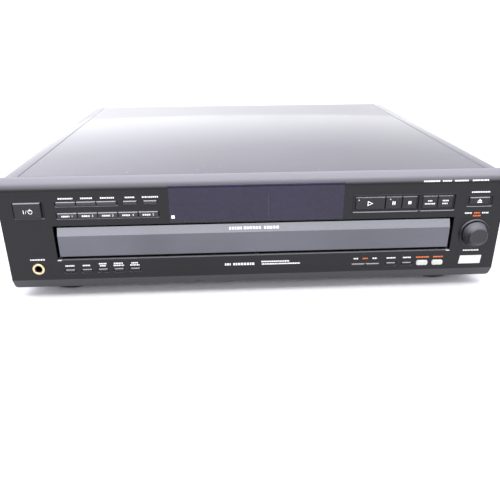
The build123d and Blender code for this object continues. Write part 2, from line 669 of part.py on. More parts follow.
def drawer():
    """The moulded tray: floor, walls, runners, rack, hub pin and the rear opening."""
    body = tray_outline()
    body -= post(0, CAROUSEL_DEPTH, TRAY_INSIDE, TRAY_TOP + 1, CAROUSEL_RADIUS + SLACK)
    for side in (-1, 1):
        inner = TRAY_WIDTH / 2 - 1
        edges = sorted((side * inner, side * (TRAY_WIDTH / 2 + RUNNER_WIDTH)))
        body += block(*edges, 20, TRAY_STRAIGHT - 2, TRAY_BASE, TRAY_BASE + RUNNER_HEIGHT)
    body += post(0, CAROUSEL_DEPTH, TRAY_BASE, CAROUSEL_TOP + 2, HUB_RADIUS)
    body -= post(0, CAROUSEL_DEPTH, TRAY_BASE - 1, CAROUSEL_TOP, 2)
    ring = post(0, CAROUSEL_DEPTH, TRAY_INSIDE - 0.2, CAROUSEL_BASE - FIT, 150)
    ring -= post(0, CAROUSEL_DEPTH, TRAY_INSIDE - 1, CAROUSEL_BASE, 147)
    body += ring
    body -= block(MOTOR_X - 17, MOTOR_X + 48, MOTOR_Y - 16, MOTOR_Y + 52, TRAY_INSIDE, TRAY_TOP - 2.5)
    opening = UNIT_WIDTH / 2 + OPENING_MARGIN
    body -= block(-opening, opening, UNIT_FRONT - 10, 400, TRAY_BASE - 1, TRAY_TOP + 1)
    body += post(CGEAR_X, CGEAR_Y, TRAY_INSIDE - 0.2, CAROUSEL_BASE - 0.6, 2)
    return body


def drawer_rack():
    """The toothed rail under the tray's left side."""
    root = RACK_X - 1.05 * GEAR_MODULE
    tip = RACK_X + 0.8 * GEAR_MODULE
    count = int(DRAWER_TRAVEL / RACK_PITCH) + 4
    start = PINION_Y - RACK_PITCH * 2
    rail = block(RACK_X - RACK_WIDTH, root, start, start + count * RACK_PITCH, RACK_BASE, TRAY_BASE)
    half = RACK_PITCH / 4 - BACKLASH / 2
    foot = root - OVERLAP / 2
    wide = half + (RACK_X - foot) * tan(radians(20))
    slim = half - (tip - RACK_X) * tan(radians(20))
    for tooth in range(count):
        middle = start + (tooth + 0.5) * RACK_PITCH
        profile = [(foot, middle - wide), (tip, middle - slim), (tip, middle + slim), (foot, middle + wide)]
        face = Plane.XY.offset(RACK_BASE) * make_face(Polyline(*profile, close=True))
        rail += extrude(face, TRAY_BASE - RACK_BASE)
    return rail


def drawer_front():
    """The drawer's gloss front, with its bevel along the top and two hooks to the tray."""
    half = SLOT_WIDTH / 2 - DRAWER_GAP
    low = SLOT_BASE + DRAWER_GAP
    high = SLOT_TOP - DRAWER_GAP
    bevel = high - DRAWER_BEVEL
    profile = [
        (DRAWER_SET + 0.8, low),
        (DRAWER_SET, low + 0.8),
        (DRAWER_SET, bevel),
        (DRAWER_SET + 3.0, high),
        (DRAWER_SHEET, high),
        (DRAWER_SHEET, low),
    ]
    return extrude(Plane.YZ.offset(-half) * make_face(Polyline(*profile, close=True)), 2 * half)


def carousel():
    """The turning platter: hub disc, gear ring, floor open at each eye, and raised forms between wells."""
    floor = CAROUSEL_BASE + WELL_FLOOR
    rims = post(0, CAROUSEL_DEPTH, floor, CAROUSEL_TOP, CAROUSEL_RADIUS)
    rims = chamfer(rims.edges().group_by(Axis.Z)[-1], CAROUSEL_EDGE)
    base = post(0, CAROUSEL_DEPTH, CAROUSEL_BASE, floor, CAROUSEL_RADIUS)
    for well in range(WELLS):
        angle = 90 + well * 360 / WELLS
        x = WELL_RING * cos(radians(angle))
        y = CAROUSEL_DEPTH + WELL_RING * sin(radians(angle))
        rims -= post(x, y, floor - 1, CAROUSEL_TOP + 1, WELL_RADIUS)
        base -= post(x, y, CAROUSEL_BASE - 1, CAROUSEL_TOP, WELL_EYE)
        reach = CAROUSEL_RADIUS
        lane = Pos(reach / 2, 0, 0) * Box(reach, 2 * WELL_EYE, 20)
        base -= Pos(x, y, CAROUSEL_BASE) * Rot(0, 0, angle) * lane
    ring = post(0, CAROUSEL_DEPTH, GEAR_BASE, CAROUSEL_BASE, RING_RADIUS - 2 * GEAR_MODULE)
    teeth = involute_gear(RING_TEETH, GEAR_MODULE, CAROUSEL_BASE - GEAR_BASE)
    ring += Pos(0, CAROUSEL_DEPTH, GEAR_BASE) * teeth
    bore = post(0, CAROUSEL_DEPTH, GEAR_BASE - 1, CAROUSEL_TOP + 1, HUB_RADIUS + RUN)
    hub = post(0, CAROUSEL_DEPTH, GEAR_BASE - 1, CAROUSEL_TOP, WELL_RING - WELL_EYE + OVERLAP)
    return [(base - bore) & hub, ring - bore, base - hub, rims - bore]


def belt_loop(x0, y0, r0, x1, y1, r1, z0, height):
    """A flat belt round two pulleys, which it clears by the passing gap."""
    reach = sqrt((x1 - x0) ** 2 + (y1 - y0) ** 2)
    heading = atan2(y1 - y0, x1 - x0)
    lean = acos((r0 - r1) / reach)

    def loop(extra):
        ends = []
        for x, y, r in ((x0, y0, r0 + extra), (x1, y1, r1 + extra)):
            for side in (1, -1):
                angle = heading + side * lean
                ends.append((x + r * cos(angle), y + r * sin(angle)))
        web = make_face(Polyline(ends[0], ends[2], ends[3], ends[1], close=True))
        return web + Pos(x0, y0) * Circle(r0 + extra) + Pos(x1, y1) * Circle(r1 + extra)

    ring = loop(FIT + 1.0) - loop(FIT)
    return extrude(Plane.XY.offset(z0) * ring, height)


def carousel_motor():
    """The platter's motor, its pulley and its belt."""
    can = post(MOTOR_X, MOTOR_Y, TRAY_INSIDE + 3, TRAY_TOP - 2.8, 12)
    shaft = post(MOTOR_X, MOTOR_Y, TRAY_INSIDE + 0.4, TRAY_INSIDE + 4, MPULLEY_RADIUS)
    foot = post(MOTOR_X + 11, MOTOR_Y - 8, TRAY_INSIDE, TRAY_TOP - 4, 3)
    driven = (CGEAR_X, CGEAR_Y, CPULLEY_RADIUS)
    belt = belt_loop(MOTOR_X, MOTOR_Y, MPULLEY_RADIUS, *driven, BELT_BASE, BELT_HEIGHT)
    return [can + shaft + foot, belt]


def carousel_gear():
    """The small gear and pulley that turn the platter's ring."""
    phase = degrees(atan2(CAROUSEL_DEPTH - CGEAR_Y, -CGEAR_X))
    ring_turn = (phase + 180) % (360 / RING_TEETH)
    turn = phase + 180 / PINION_TEETH + ring_turn * RING_TEETH / PINION_TEETH
    gear = Pos(CGEAR_X, CGEAR_Y, GEAR_BASE) * involute_gear(PINION_TEETH, GEAR_MODULE, 3.6, turn)
    pulley = post(CGEAR_X, CGEAR_Y, TRAY_INSIDE + 0.4, GEAR_BASE - FIT, CPULLEY_RADIUS)
    pulley += post(CGEAR_X, CGEAR_Y, TRAY_INSIDE + 0.4, GEAR_BASE + 0.1, 6)
    return gear + pulley - post(CGEAR_X, CGEAR_Y, 0, 60, 2 + RUN)


# ---- loading works ------------------------------------------------------------------------------
def mechanism_deck():
    """The moulded deck: rails for the drawer's runners, side walls and the lift's opening."""
    half = DECK_WIDTH / 2
    body = block(-half, half, DECK_FRONT, DECK_REAR, DECK_BASE, DECK_TOP)
    opening = UNIT_WIDTH / 2 + OPENING_MARGIN
    for side in (-1, 1):
        wall = sorted((side * half, side * (half - 3)))
        body += block(*wall, DECK_FRONT, DECK_RAIL_REAR, CHASSIS_TOP, DECK_TOP)
        rail = sorted((side * half, side * RAIL_INSIDE))
        body += block(*rail, DECK_FRONT, DECK_RAIL_REAR, DECK_TOP - 0.2, RAIL_TOP)
        inner = TRAY_WIDTH / 2 + 1.5
        ledge = sorted((side * (half - 1), side * inner))
        body += block(*ledge, DECK_FRONT, DECK_RAIL_REAR, DECK_TOP - 0.2, TRAY_BASE - FIT)
        over = TRAY_BASE + RUNNER_HEIGHT + SLACK
        body += block(*ledge, DECK_FRONT, DECK_RAIL_REAR, over, over + 2)
        guide = sorted((side * opening, side * (opening + 3)))
        body += block(*guide, *GUIDE_SPAN, DECK_BASE - UNIT_HEIGHT, TRAY_BASE - 0.5)
        body += post(side * (opening + 5.5), DECK_REAR - 10, CHASSIS_TOP, DECK_BASE + 0.2, 4)
    body -= block(-opening, opening, UNIT_FRONT - 10, DECK_REAR + 1, DECK_BASE - 1, DECK_TOP + 1)
    body -= block(-62, 62, CAM_Y - 1, CAM_Y + CAM_SHEET + 1, DECK_BASE - 1, DECK_TOP + 1)
    body -= block(132, half + 1, DECK_RAIL_REAR + 8, DECK_REAR + 1, DECK_BASE - 1, DECK_TOP + 1)
    body -= post(PINION_X, PINION_Y, DECK_BASE - 1, DECK_TOP + 1, PINION_SHAFT + RUN)
    body += post(PULLEY_X, PINION_Y, PULLEY_BASE - 1, DECK_BASE + 0.2, 2)
    return body


def clamp_bridge():
    """The bridge over the drawer, which carries the disc clamp over the playing place."""
    half = DECK_WIDTH / 2
    top = BRIDGE_BASE + BRIDGE_SHEET
    body = block(-half, half, PLAY_DEPTH - 24, PLAY_DEPTH + 24, BRIDGE_BASE, top)
    for side in (-1, 1):
        leg = sorted((side * half, side * RAIL_INSIDE))
        body += block(*leg, PLAY_DEPTH - 16, DECK_RAIL_REAR - 1, RAIL_TOP, BRIDGE_BASE + 0.2)
        rib = sorted((side * 30, side * (half - 4)))
        body += block(*rib, PLAY_DEPTH - 22, PLAY_DEPTH - 19, top - 0.2, top + 5)
        body += block(*rib, PLAY_DEPTH + 19, PLAY_DEPTH + 22, top - 0.2, top + 5)
    body += post(0, PLAY_DEPTH, BRIDGE_BASE, top + 4, 23)
    return body - post(0, PLAY_DEPTH, BRIDGE_BASE - 1, top + 5, CLAMP_HOLE)


def disc_clamp():
    """The puck that the playing disc is pressed against: flange, neck, pad and eye."""
    low = SEAT_UP + 1.5
    collar = BRIDGE_BASE + BRIDGE_SHEET + 4 + FIT
    body = post(0, PLAY_DEPTH, low, low + 3, CLAMP_HOLE - 0.5)
    body += post(0, PLAY_DEPTH, low + 2.8, collar + 1, CLAMP_HOLE - 2.5)
    body += post(0, PLAY_DEPTH, collar, collar + 2.5, CLAMP_HOLE + 4.5)
    return body - post(0, PLAY_DEPTH, low - 1, low + 3.5, 8.5)


def loading_gear():
    """The big wheel under the deck, with the shaft and pinion that drive the drawer's rack."""
    wheel = Pos(PINION_X, PINION_Y, WHEEL_BASE) * involute_gear(WHEEL_TEETH, FINE_MODULE, 3)
    shaft = post(PINION_X, PINION_Y, WHEEL_BASE, RACK_BASE + 0.3, PINION_SHAFT)
    width = TRAY_BASE - RACK_BASE - 0.6
    pinion = Pos(PINION_X, PINION_Y, RACK_BASE + 0.2) * involute_gear(PINION_TEETH, GEAR_MODULE, width, 180)
    return wheel + shaft + pinion


def loading_pulley():
    """The belt pulley under the deck, whose small gear drives the wheel."""
    turn = 180 + 180 / PINION_TEETH
    gear = Pos(PULLEY_X, PINION_Y, WHEEL_BASE - 0.5) * involute_gear(PINION_TEETH, FINE_MODULE, 4, turn)
    hub = post(PULLEY_X, PINION_Y, PULLEY_BASE + 1, WHEEL_BASE, 5)
    disc = post(PULLEY_X, PINION_Y, PULLEY_BASE, PULLEY_BASE + 4, PULLEY_RADIUS)
    groove = disc - post(PULLEY_X, PINION_Y, PULLEY_BASE - 1, PULLEY_BASE + 5, PULLEY_RADIUS - 1.2)
    groove &= block(-500, 500, -500, 500, PULLEY_BASE + 1, PULLEY_BASE + 3)
    return disc - groove + hub + gear - post(PULLEY_X, PINION_Y, -20, 40, 2 + RUN)


def loading_motor():
    """The can motor under the deck, with its pulley."""
    can = post(LOADER_X, PINION_Y, 3, DECK_BASE, 12)
    shaft = post(LOADER_X, PINION_Y, PULLEY_BASE, 3.2, 1.2)
    pulley = post(LOADER_X, PINION_Y, PULLEY_BASE, PULLEY_BASE + 4, 3)
    return can + shaft + pulley


def loading_belt():
    """The belt between the motor's pulley and the loading pulley."""
    return belt_loop(
        LOADER_X, PINION_Y, 3, PULLEY_X, PINION_Y, PULLEY_RADIUS - 1.2, PULLEY_BASE + 1.3, 1.4
    )


# ---- playing unit -------------------------------------------------------------------------------
def base_unit():
    """The lifting frame: walls, spindle motor, guide rods, ears and cam pins, in its low place."""
    half = UNIT_WIDTH / 2
    low = UNIT_TOP - UNIT_HEIGHT
    body = block(-half, half, UNIT_FRONT, UNIT_REAR, low, UNIT_TOP)
    inner = half - UNIT_PLATE
    front = UNIT_FRONT + UNIT_PLATE
    body -= block(-inner, inner, front, UNIT_REAR - UNIT_PLATE, low - 1, UNIT_TOP - UNIT_PLATE)
    lane = SPINDLE_CAN + 1
    body -= block(-UNIT_LANE, UNIT_LANE, PLAY_DEPTH + lane, UNIT_REAR - 5, low - 1, UNIT_TOP + 1)
    body += post(0, PLAY_DEPTH, low + 1, UNIT_TOP, SPINDLE_CAN)
    body -= post(0, PLAY_DEPTH, UNIT_TOP - 8, UNIT_TOP + 1, 1.5 + RUN)
    for side in (-1, 1):
        body += rod(side * ROD_X, ROD_Z, PLAY_DEPTH + lane - 2, UNIT_REAR - 2, ROD_RADIUS)
        ear = sorted((side * (half - 1), side * (half + OPENING_MARGIN - FIT)))
        body += block(*ear, *EAR_SPAN, low, UNIT_TOP - 2)
        body += rod(side * CAM_PIN_X, CAM_PIN_Z, CAM_Y - 0.5, UNIT_FRONT + 1, CAM_PIN_RADIUS)
    return body


def disc_turntable():
    """The spindle's table: disc seat, centring cone, boss and shaft."""
    body = post(0, PLAY_DEPTH, SEAT_DOWN - 2, SEAT_DOWN, SEAT_RADIUS)
    cone = Pos(0, PLAY_DEPTH, SEAT_DOWN + CONE_HEIGHT / 2) * Cone(CONE_BASE, CONE_TIP, CONE_HEIGHT)
    boss = post(0, PLAY_DEPTH, UNIT_TOP + 0.3, SEAT_DOWN - 1, 5)
    shaft = post(0, PLAY_DEPTH, UNIT_TOP - 7, UNIT_TOP + 1, 1.5)
    return body + cone + boss + shaft


def pickup():
    """The laser pickup: carriage on its two rods, lens tower and lens."""
    lens_y = PLAY_DEPTH + PICKUP_START
    base = UNIT_TOP - 9.5
    body = block(-ROD_X - 4, ROD_X + 4, lens_y - 10, lens_y + 10, base, UNIT_TOP - 3)
    body += block(-12, 12, lens_y - 10, lens_y + 10, UNIT_TOP - 3.2, SEAT_DOWN - 4)
    body = body + post(0, lens_y, SEAT_DOWN - 4.2, SEAT_DOWN - 2.4, 3.6)
    for side in (-1, 1):
        body -= rod(side * ROD_X, ROD_Z, lens_y - 30, lens_y + 30, ROD_RADIUS + RUN)
    return body


def lift_cam():
    """The sliding cam in front of the lifting frame, with a sloping slot for each pin."""
    base = CHASSIS_TOP + FIT
    body = block(-42, 40, CAM_Y, CAM_Y + CAM_SHEET, base, TRAY_BASE - 1)
    length = LIFT_TRAVEL * sqrt(2) + 2 * (CAM_PIN_RADIUS + FIT)
    for side in (-1, 1):
        x = side * CAM_PIN_X - LIFT_TRAVEL / 2
        z = CAM_PIN_Z + LIFT_TRAVEL / 2
        slot = Pos(x, z) * Rot(0, 0, 135) * SlotOverall(length, 2 * (CAM_PIN_RADIUS + FIT))
        body -= extrude(Plane.XZ.offset(-CAM_Y + 1) * slot, -(CAM_SHEET + 2))
    return body


# ---- controls -----------------------------------------------------------------------------------
def key(x, z, width, height, proud):
    """One key: cap with softened front edges, retaining flange and stem to its switch."""
    front = surround(x, z, width, height) - proud
    cap = plate(x, z, front, KEY_STOP, width, height, key_corner(height))
    cap = chamfer(cap.edges().group_by(Axis.Y)[0], KEY_EDGE)
    flange = height / 2 + KEY_GAP + KEY_FLANGE
    back = block(x - width / 2, x + width / 2, PANEL_WALL + FIT, KEY_STOP, z - flange, z + flange)
    reach = (KEY_STOP - OVERLAP, SWITCH_FACE - SWITCH_GAP)
    stem = block(x - STEM_HALF, x + STEM_HALF, *reach, z - 1, z + 1)
    return cap + back + stem


def encoder_rotor():
    """The dial's shaft, which turns in the encoder."""
    return rod(KNOB_X, KNOB_Z, 2.5 - KNOB_REACH, 9.5, SPINDLE_RADIUS)


def jog_knob():
    """The dial, which turns with its shaft and can be pushed along it."""
    knob = rod(KNOB_X, KNOB_Z, -KNOB_REACH, 1.8, KNOB_RADIUS)
    knob = fillet(knob.edges().group_by(Axis.Y)[0], KNOB_EDGE)
    middle = -(SKIRT_FRONT + SKIRT_REAR) / 2
    cone = Cone(SKIRT_RADIUS, KNOB_RADIUS, SKIRT_FRONT - SKIRT_REAR)
    knob += Pos(KNOB_X, middle, KNOB_Z) * Rot(90, 0, 0) * cone
    return knob - rod(KNOB_X, KNOB_Z, 1.7 - KNOB_REACH, 3, SPINDLE_RADIUS + RUN)


def main():
    """Build every node and write it."""
    os.makedirs("parts", exist_ok=True)
    for make in (front_panel, display_window, bottom_chassis, rear_panel, top_cover):
        save(make.__name__, make())
    for make in (main_board, control_board, display_module, headphone_socket, power_transformer):
        save(make.__name__, make())
    for make in (cord_gland, drawer_front, carousel_gear, mechanism_deck, clamp_bridge, disc_clamp):
        save(make.__name__, make())
    for make in (loading_gear, loading_pulley, loading_motor, loading_belt, base_unit, disc_turntable):
        save(make.__name__, make())
    for make in (pickup, lift_cam, encoder_rotor, jog_knob):
        save(make.__name__, make())
    for make in (cover_screws, feet, output_sockets, carousel, carousel_motor):
        save(make.__name__, *make())
    save("drawer", drawer(), drawer_rack())
    for name, *sizes in KEYS:
        save(name, key(*sizes))


main()
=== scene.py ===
"""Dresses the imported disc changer: finishes, printed marks, trim and small fittings.

Lengths in the classes are millimetres in the face's own terms: x to the right of the face's middle,
z up from the face's bottom edge, and depth back from the face. Face.at() turns them into the frame.
"""

from __future__ import annotations

import json
import logging
import math
import random
from dataclasses import dataclass, field
from enum import Enum
from typing import Callable, Iterable, Sequence

import bpy
from mathutils import Matrix, Vector

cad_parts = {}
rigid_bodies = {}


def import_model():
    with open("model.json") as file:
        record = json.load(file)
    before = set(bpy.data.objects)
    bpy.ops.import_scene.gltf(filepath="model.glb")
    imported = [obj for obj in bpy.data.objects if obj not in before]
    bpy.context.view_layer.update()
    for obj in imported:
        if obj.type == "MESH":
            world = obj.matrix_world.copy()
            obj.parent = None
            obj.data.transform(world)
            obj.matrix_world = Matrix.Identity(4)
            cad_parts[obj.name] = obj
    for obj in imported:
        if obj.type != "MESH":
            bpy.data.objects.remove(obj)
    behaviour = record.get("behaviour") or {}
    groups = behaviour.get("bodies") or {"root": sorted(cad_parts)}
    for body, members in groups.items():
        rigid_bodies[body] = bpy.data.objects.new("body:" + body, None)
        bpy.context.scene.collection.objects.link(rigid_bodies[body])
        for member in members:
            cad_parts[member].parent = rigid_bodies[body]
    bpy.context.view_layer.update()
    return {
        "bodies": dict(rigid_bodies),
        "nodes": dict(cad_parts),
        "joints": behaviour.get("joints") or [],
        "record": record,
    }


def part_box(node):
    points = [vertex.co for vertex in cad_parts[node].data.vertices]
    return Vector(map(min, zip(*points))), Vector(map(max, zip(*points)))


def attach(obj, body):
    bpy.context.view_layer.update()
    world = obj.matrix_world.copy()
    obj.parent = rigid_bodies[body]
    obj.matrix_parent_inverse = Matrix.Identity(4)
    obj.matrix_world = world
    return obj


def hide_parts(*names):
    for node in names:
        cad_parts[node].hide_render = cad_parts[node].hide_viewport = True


LOG = logging.getLogger("changer")
MM = 0.001
# pale tint laid on surfaces that face up or down: painted light
PAINTED_LIGHT_TINT = "#a5a3ad"
DUST_SPECK = "#b9b7be"
UPRIGHT = (math.pi / 2, 0, 0)  # turns a piece that is made lying flat to face the front
Point = tuple[float, float, float]
Ramp = tuple[float, float, float, float]


# ---- colours and materials ----------------------------------------------------------------------
def linear(code: str) -> tuple[float, float, float, float]:
    """Turn an sRGB hex code into a linear colour.

    Args:
        code: Six hex digits, with or without a leading hash.

    Returns:
        Red, green, blue and an alpha of 1.
    """
    digits = code.lstrip("#")
    values = [int(digits[i:i + 2], 16) / 255 for i in (0, 2, 4)]
    channels = [v / 12.92 if v <= 0.04045 else ((v + 0.055) / 1.055) ** 2.4 for v in values]
    return (channels[0], channels[1], channels[2], 1.0)


def add_node(tree: bpy.types.NodeTree, kind: str, links: dict | None = None, **settings) -> bpy.types.Node:
    """Add a shader node, with its settings and what feeds its inputs.

    Args:
        tree: The node tree to add to.
        kind: The node's type name.
        links: Input name or index to an output socket or a plain value.
        **settings: Attributes of the node itself.

    Returns:
        The new node.
    """
    node = tree.nodes.new(kind)
    for name, value in settings.items():
        setattr(node, name, value)
    for name, value in (links or {}).items():
        if isinstance(value, bpy.types.NodeSocket):
            tree.links.new(value, node.inputs[name])
        else:
            node.inputs[name].default_value = value
    return node


@dataclass(frozen=True)
class Finish:
    """One real finish: its colours, gloss and surface texture, and any light painted on what faces up or down."""

    name: str
    colour: str
    tint: str  # the colour that the patches and grain lean towards
    roughness: float
    metallic: float = 0.0
    spread: float = 0.06  # how far roughness wanders
    grain: float = 0.6  # mm, the moulded or sprayed grain
    bump: float = 0.05
    patch: float = 60.0  # mm, slow variation over a panel
    coat: float = 0.0
    coat_roughness: float = 0.05
    ior: float = 1.5
    dust: float = 0.0  # share of pale specks
    dust_size: float = 3.0
    # painted light: emission that makes a surface glow though it is no lamp
    glow: float = 0.0
    stretch: Point = (1.0, 1.0, 1.0)  # grain drawn out along an axis, as by brushing
    film: float = 0.0  # painted light: paler on what faces up
    scuff: float = 0.0  # painted light: paler on what faces down

    def build(self) -> bpy.types.Material:
        """Make the Blender material of this finish.

        Returns:
            A material whose pattern reads Object coordinates.
        """
        material = bpy.data.materials.new(self.name)
        material.use_nodes = True
        tree = material.node_tree
        tree.nodes.clear()
        place = add_node(tree, "ShaderNodeTexCoord")
        turned = add_node(tree, "ShaderNodeMapping", {"Vector": place.outputs["Object"], "Scale": self.stretch})
        vector = turned.outputs[0]
        slow = add_node(tree, "ShaderNodeTexNoise", {"Vector": vector, "Scale": 1000 / self.patch, "Detail": 3.0})
        fine = add_node(tree, "ShaderNodeTexNoise", {"Vector": vector, "Scale": 1000 / self.grain, "Detail": 2.0})
        blend = add_node(tree, "ShaderNodeMath", {0: slow.outputs["Fac"], 1: fine.outputs["Fac"]}, operation="MULTIPLY")
        lift = add_node(tree, "ShaderNodeMapRange", {"Value": blend.outputs[0], "From Min": 0.1, "From Max": 0.42})
        base = add_node(tree, "ShaderNodeMix", data_type="RGBA")
        tree.links.new(lift.outputs[0], base.inputs[0])
        base.inputs[6].default_value = linear(self.colour)
        base.inputs[7].default_value = linear(self.tint)
        colour = base.outputs[2]
        if self.dust:
            colour = self._dusty(tree, vector, colour)
        # painted light: paler where the surface faces up, and where it faces down
        for share, sign in ((self.film, 1.0), (self.scuff, -1.0)):
            if share:
                colour = self._film(tree, colour, share, sign)
        wander = {"Value": slow.outputs["Fac"], "From Min": 0.3, "From Max": 0.7}
        wander.update({"To Min": max(self.roughness - self.spread, 0.02), "To Max": self.roughness + self.spread})
        rough = add_node(tree, "ShaderNodeMapRange", wander)
        bump = add_node(
            tree,
            "ShaderNodeBump",
            {"Strength": self.bump, "Distance": self.grain * MM * 0.3, "Height": fine.outputs["Fac"]},
        )
        shader = add_node(
            tree,
            "ShaderNodeBsdfPrincipled",
            {
                "Base Color": colour,
                "Metallic": self.metallic,
                "Roughness": rough.outputs[0],
                "Normal": bump.outputs[0],
                "IOR": self.ior,
                "Coat Weight": self.coat,
                "Coat Roughness": self.coat_roughness,
                "Emission Strength": self.glow,
            },
        )
        shader.inputs["Emission Color"].default_value = linear(self.colour)
        add_node(tree, "ShaderNodeOutputMaterial", {"Surface": shader.outputs[0]})
        return material

    @staticmethod
    def _film(
        tree: bpy.types.NodeTree, under: bpy.types.NodeSocket, share: float, sign: float
    ) -> bpy.types.NodeSocket:
        """Paint light into a colour: pale it where the surface faces up, or with sign -1 where it faces down.

        Args:
            tree: The material's tree.
            under: The colour below.
            share: Strength where the surface lies level.
            sign: 1 for what faces up, -1 for what faces down.

        Returns:
            The paled colour's socket.
        """
        facing = add_node(tree, "ShaderNodeNewGeometry")
        parts = add_node(tree, "ShaderNodeSeparateXYZ", {0: facing.outputs["Normal"]})
        level = add_node(
            tree,
            "ShaderNodeMapRange",
            {"Value": parts.outputs["Z"], "From Min": 0.15 * sign, "From Max": 0.8 * sign, "To Max": share},
        )
        mix = add_node(tree, "ShaderNodeMix", data_type="RGBA")
        tree.links.new(level.outputs[0], mix.inputs[0])
        tree.links.new(under, mix.inputs[6])
        mix.inputs[7].default_value = linear(PAINTED_LIGHT_TINT)
        return mix.outputs[2]

    def _dusty(
        self, tree: bpy.types.NodeTree, vector: bpy.types.NodeSocket, under: bpy.types.NodeSocket
    ) -> bpy.types.NodeSocket:
        """Lay pale dust specks over a colour.

        Args:
            tree: The material's tree.
            vector: The pattern's coordinates.
            under: The colour below the dust.

        Returns:
            The dusty colour's socket.
        """
        cells = add_node(tree, "ShaderNodeTexVoronoi", {"Vector": vector, "Scale": 1000 / self.dust_size})
        spots = add_node(
            tree, "ShaderNodeMapRange", {"Value": cells.outputs["Distance"], "From Min": 0.16, "From Max": 0.04}
        )
        some = add_node(tree, "ShaderNodeSeparateColor", {0: cells.outputs["Color"]})
        rare = add_node(tree, "ShaderNodeMath", {0: some.outputs[0], 1: 1 - self.dust}, operation="GREATER_THAN")
        both = add_node(tree, "ShaderNodeMath", {0: spots.outputs[0], 1: rare.outputs[0]}, operation="MULTIPLY")
        mix = add_node(tree, "ShaderNodeMix", data_type="RGBA")
        tree.links.new(both.outputs[0], mix.inputs[0])
        tree.links.new(under, mix.inputs[6])
        mix.inputs[7].default_value = linear(DUST_SPECK)
        return mix.outputs[2]


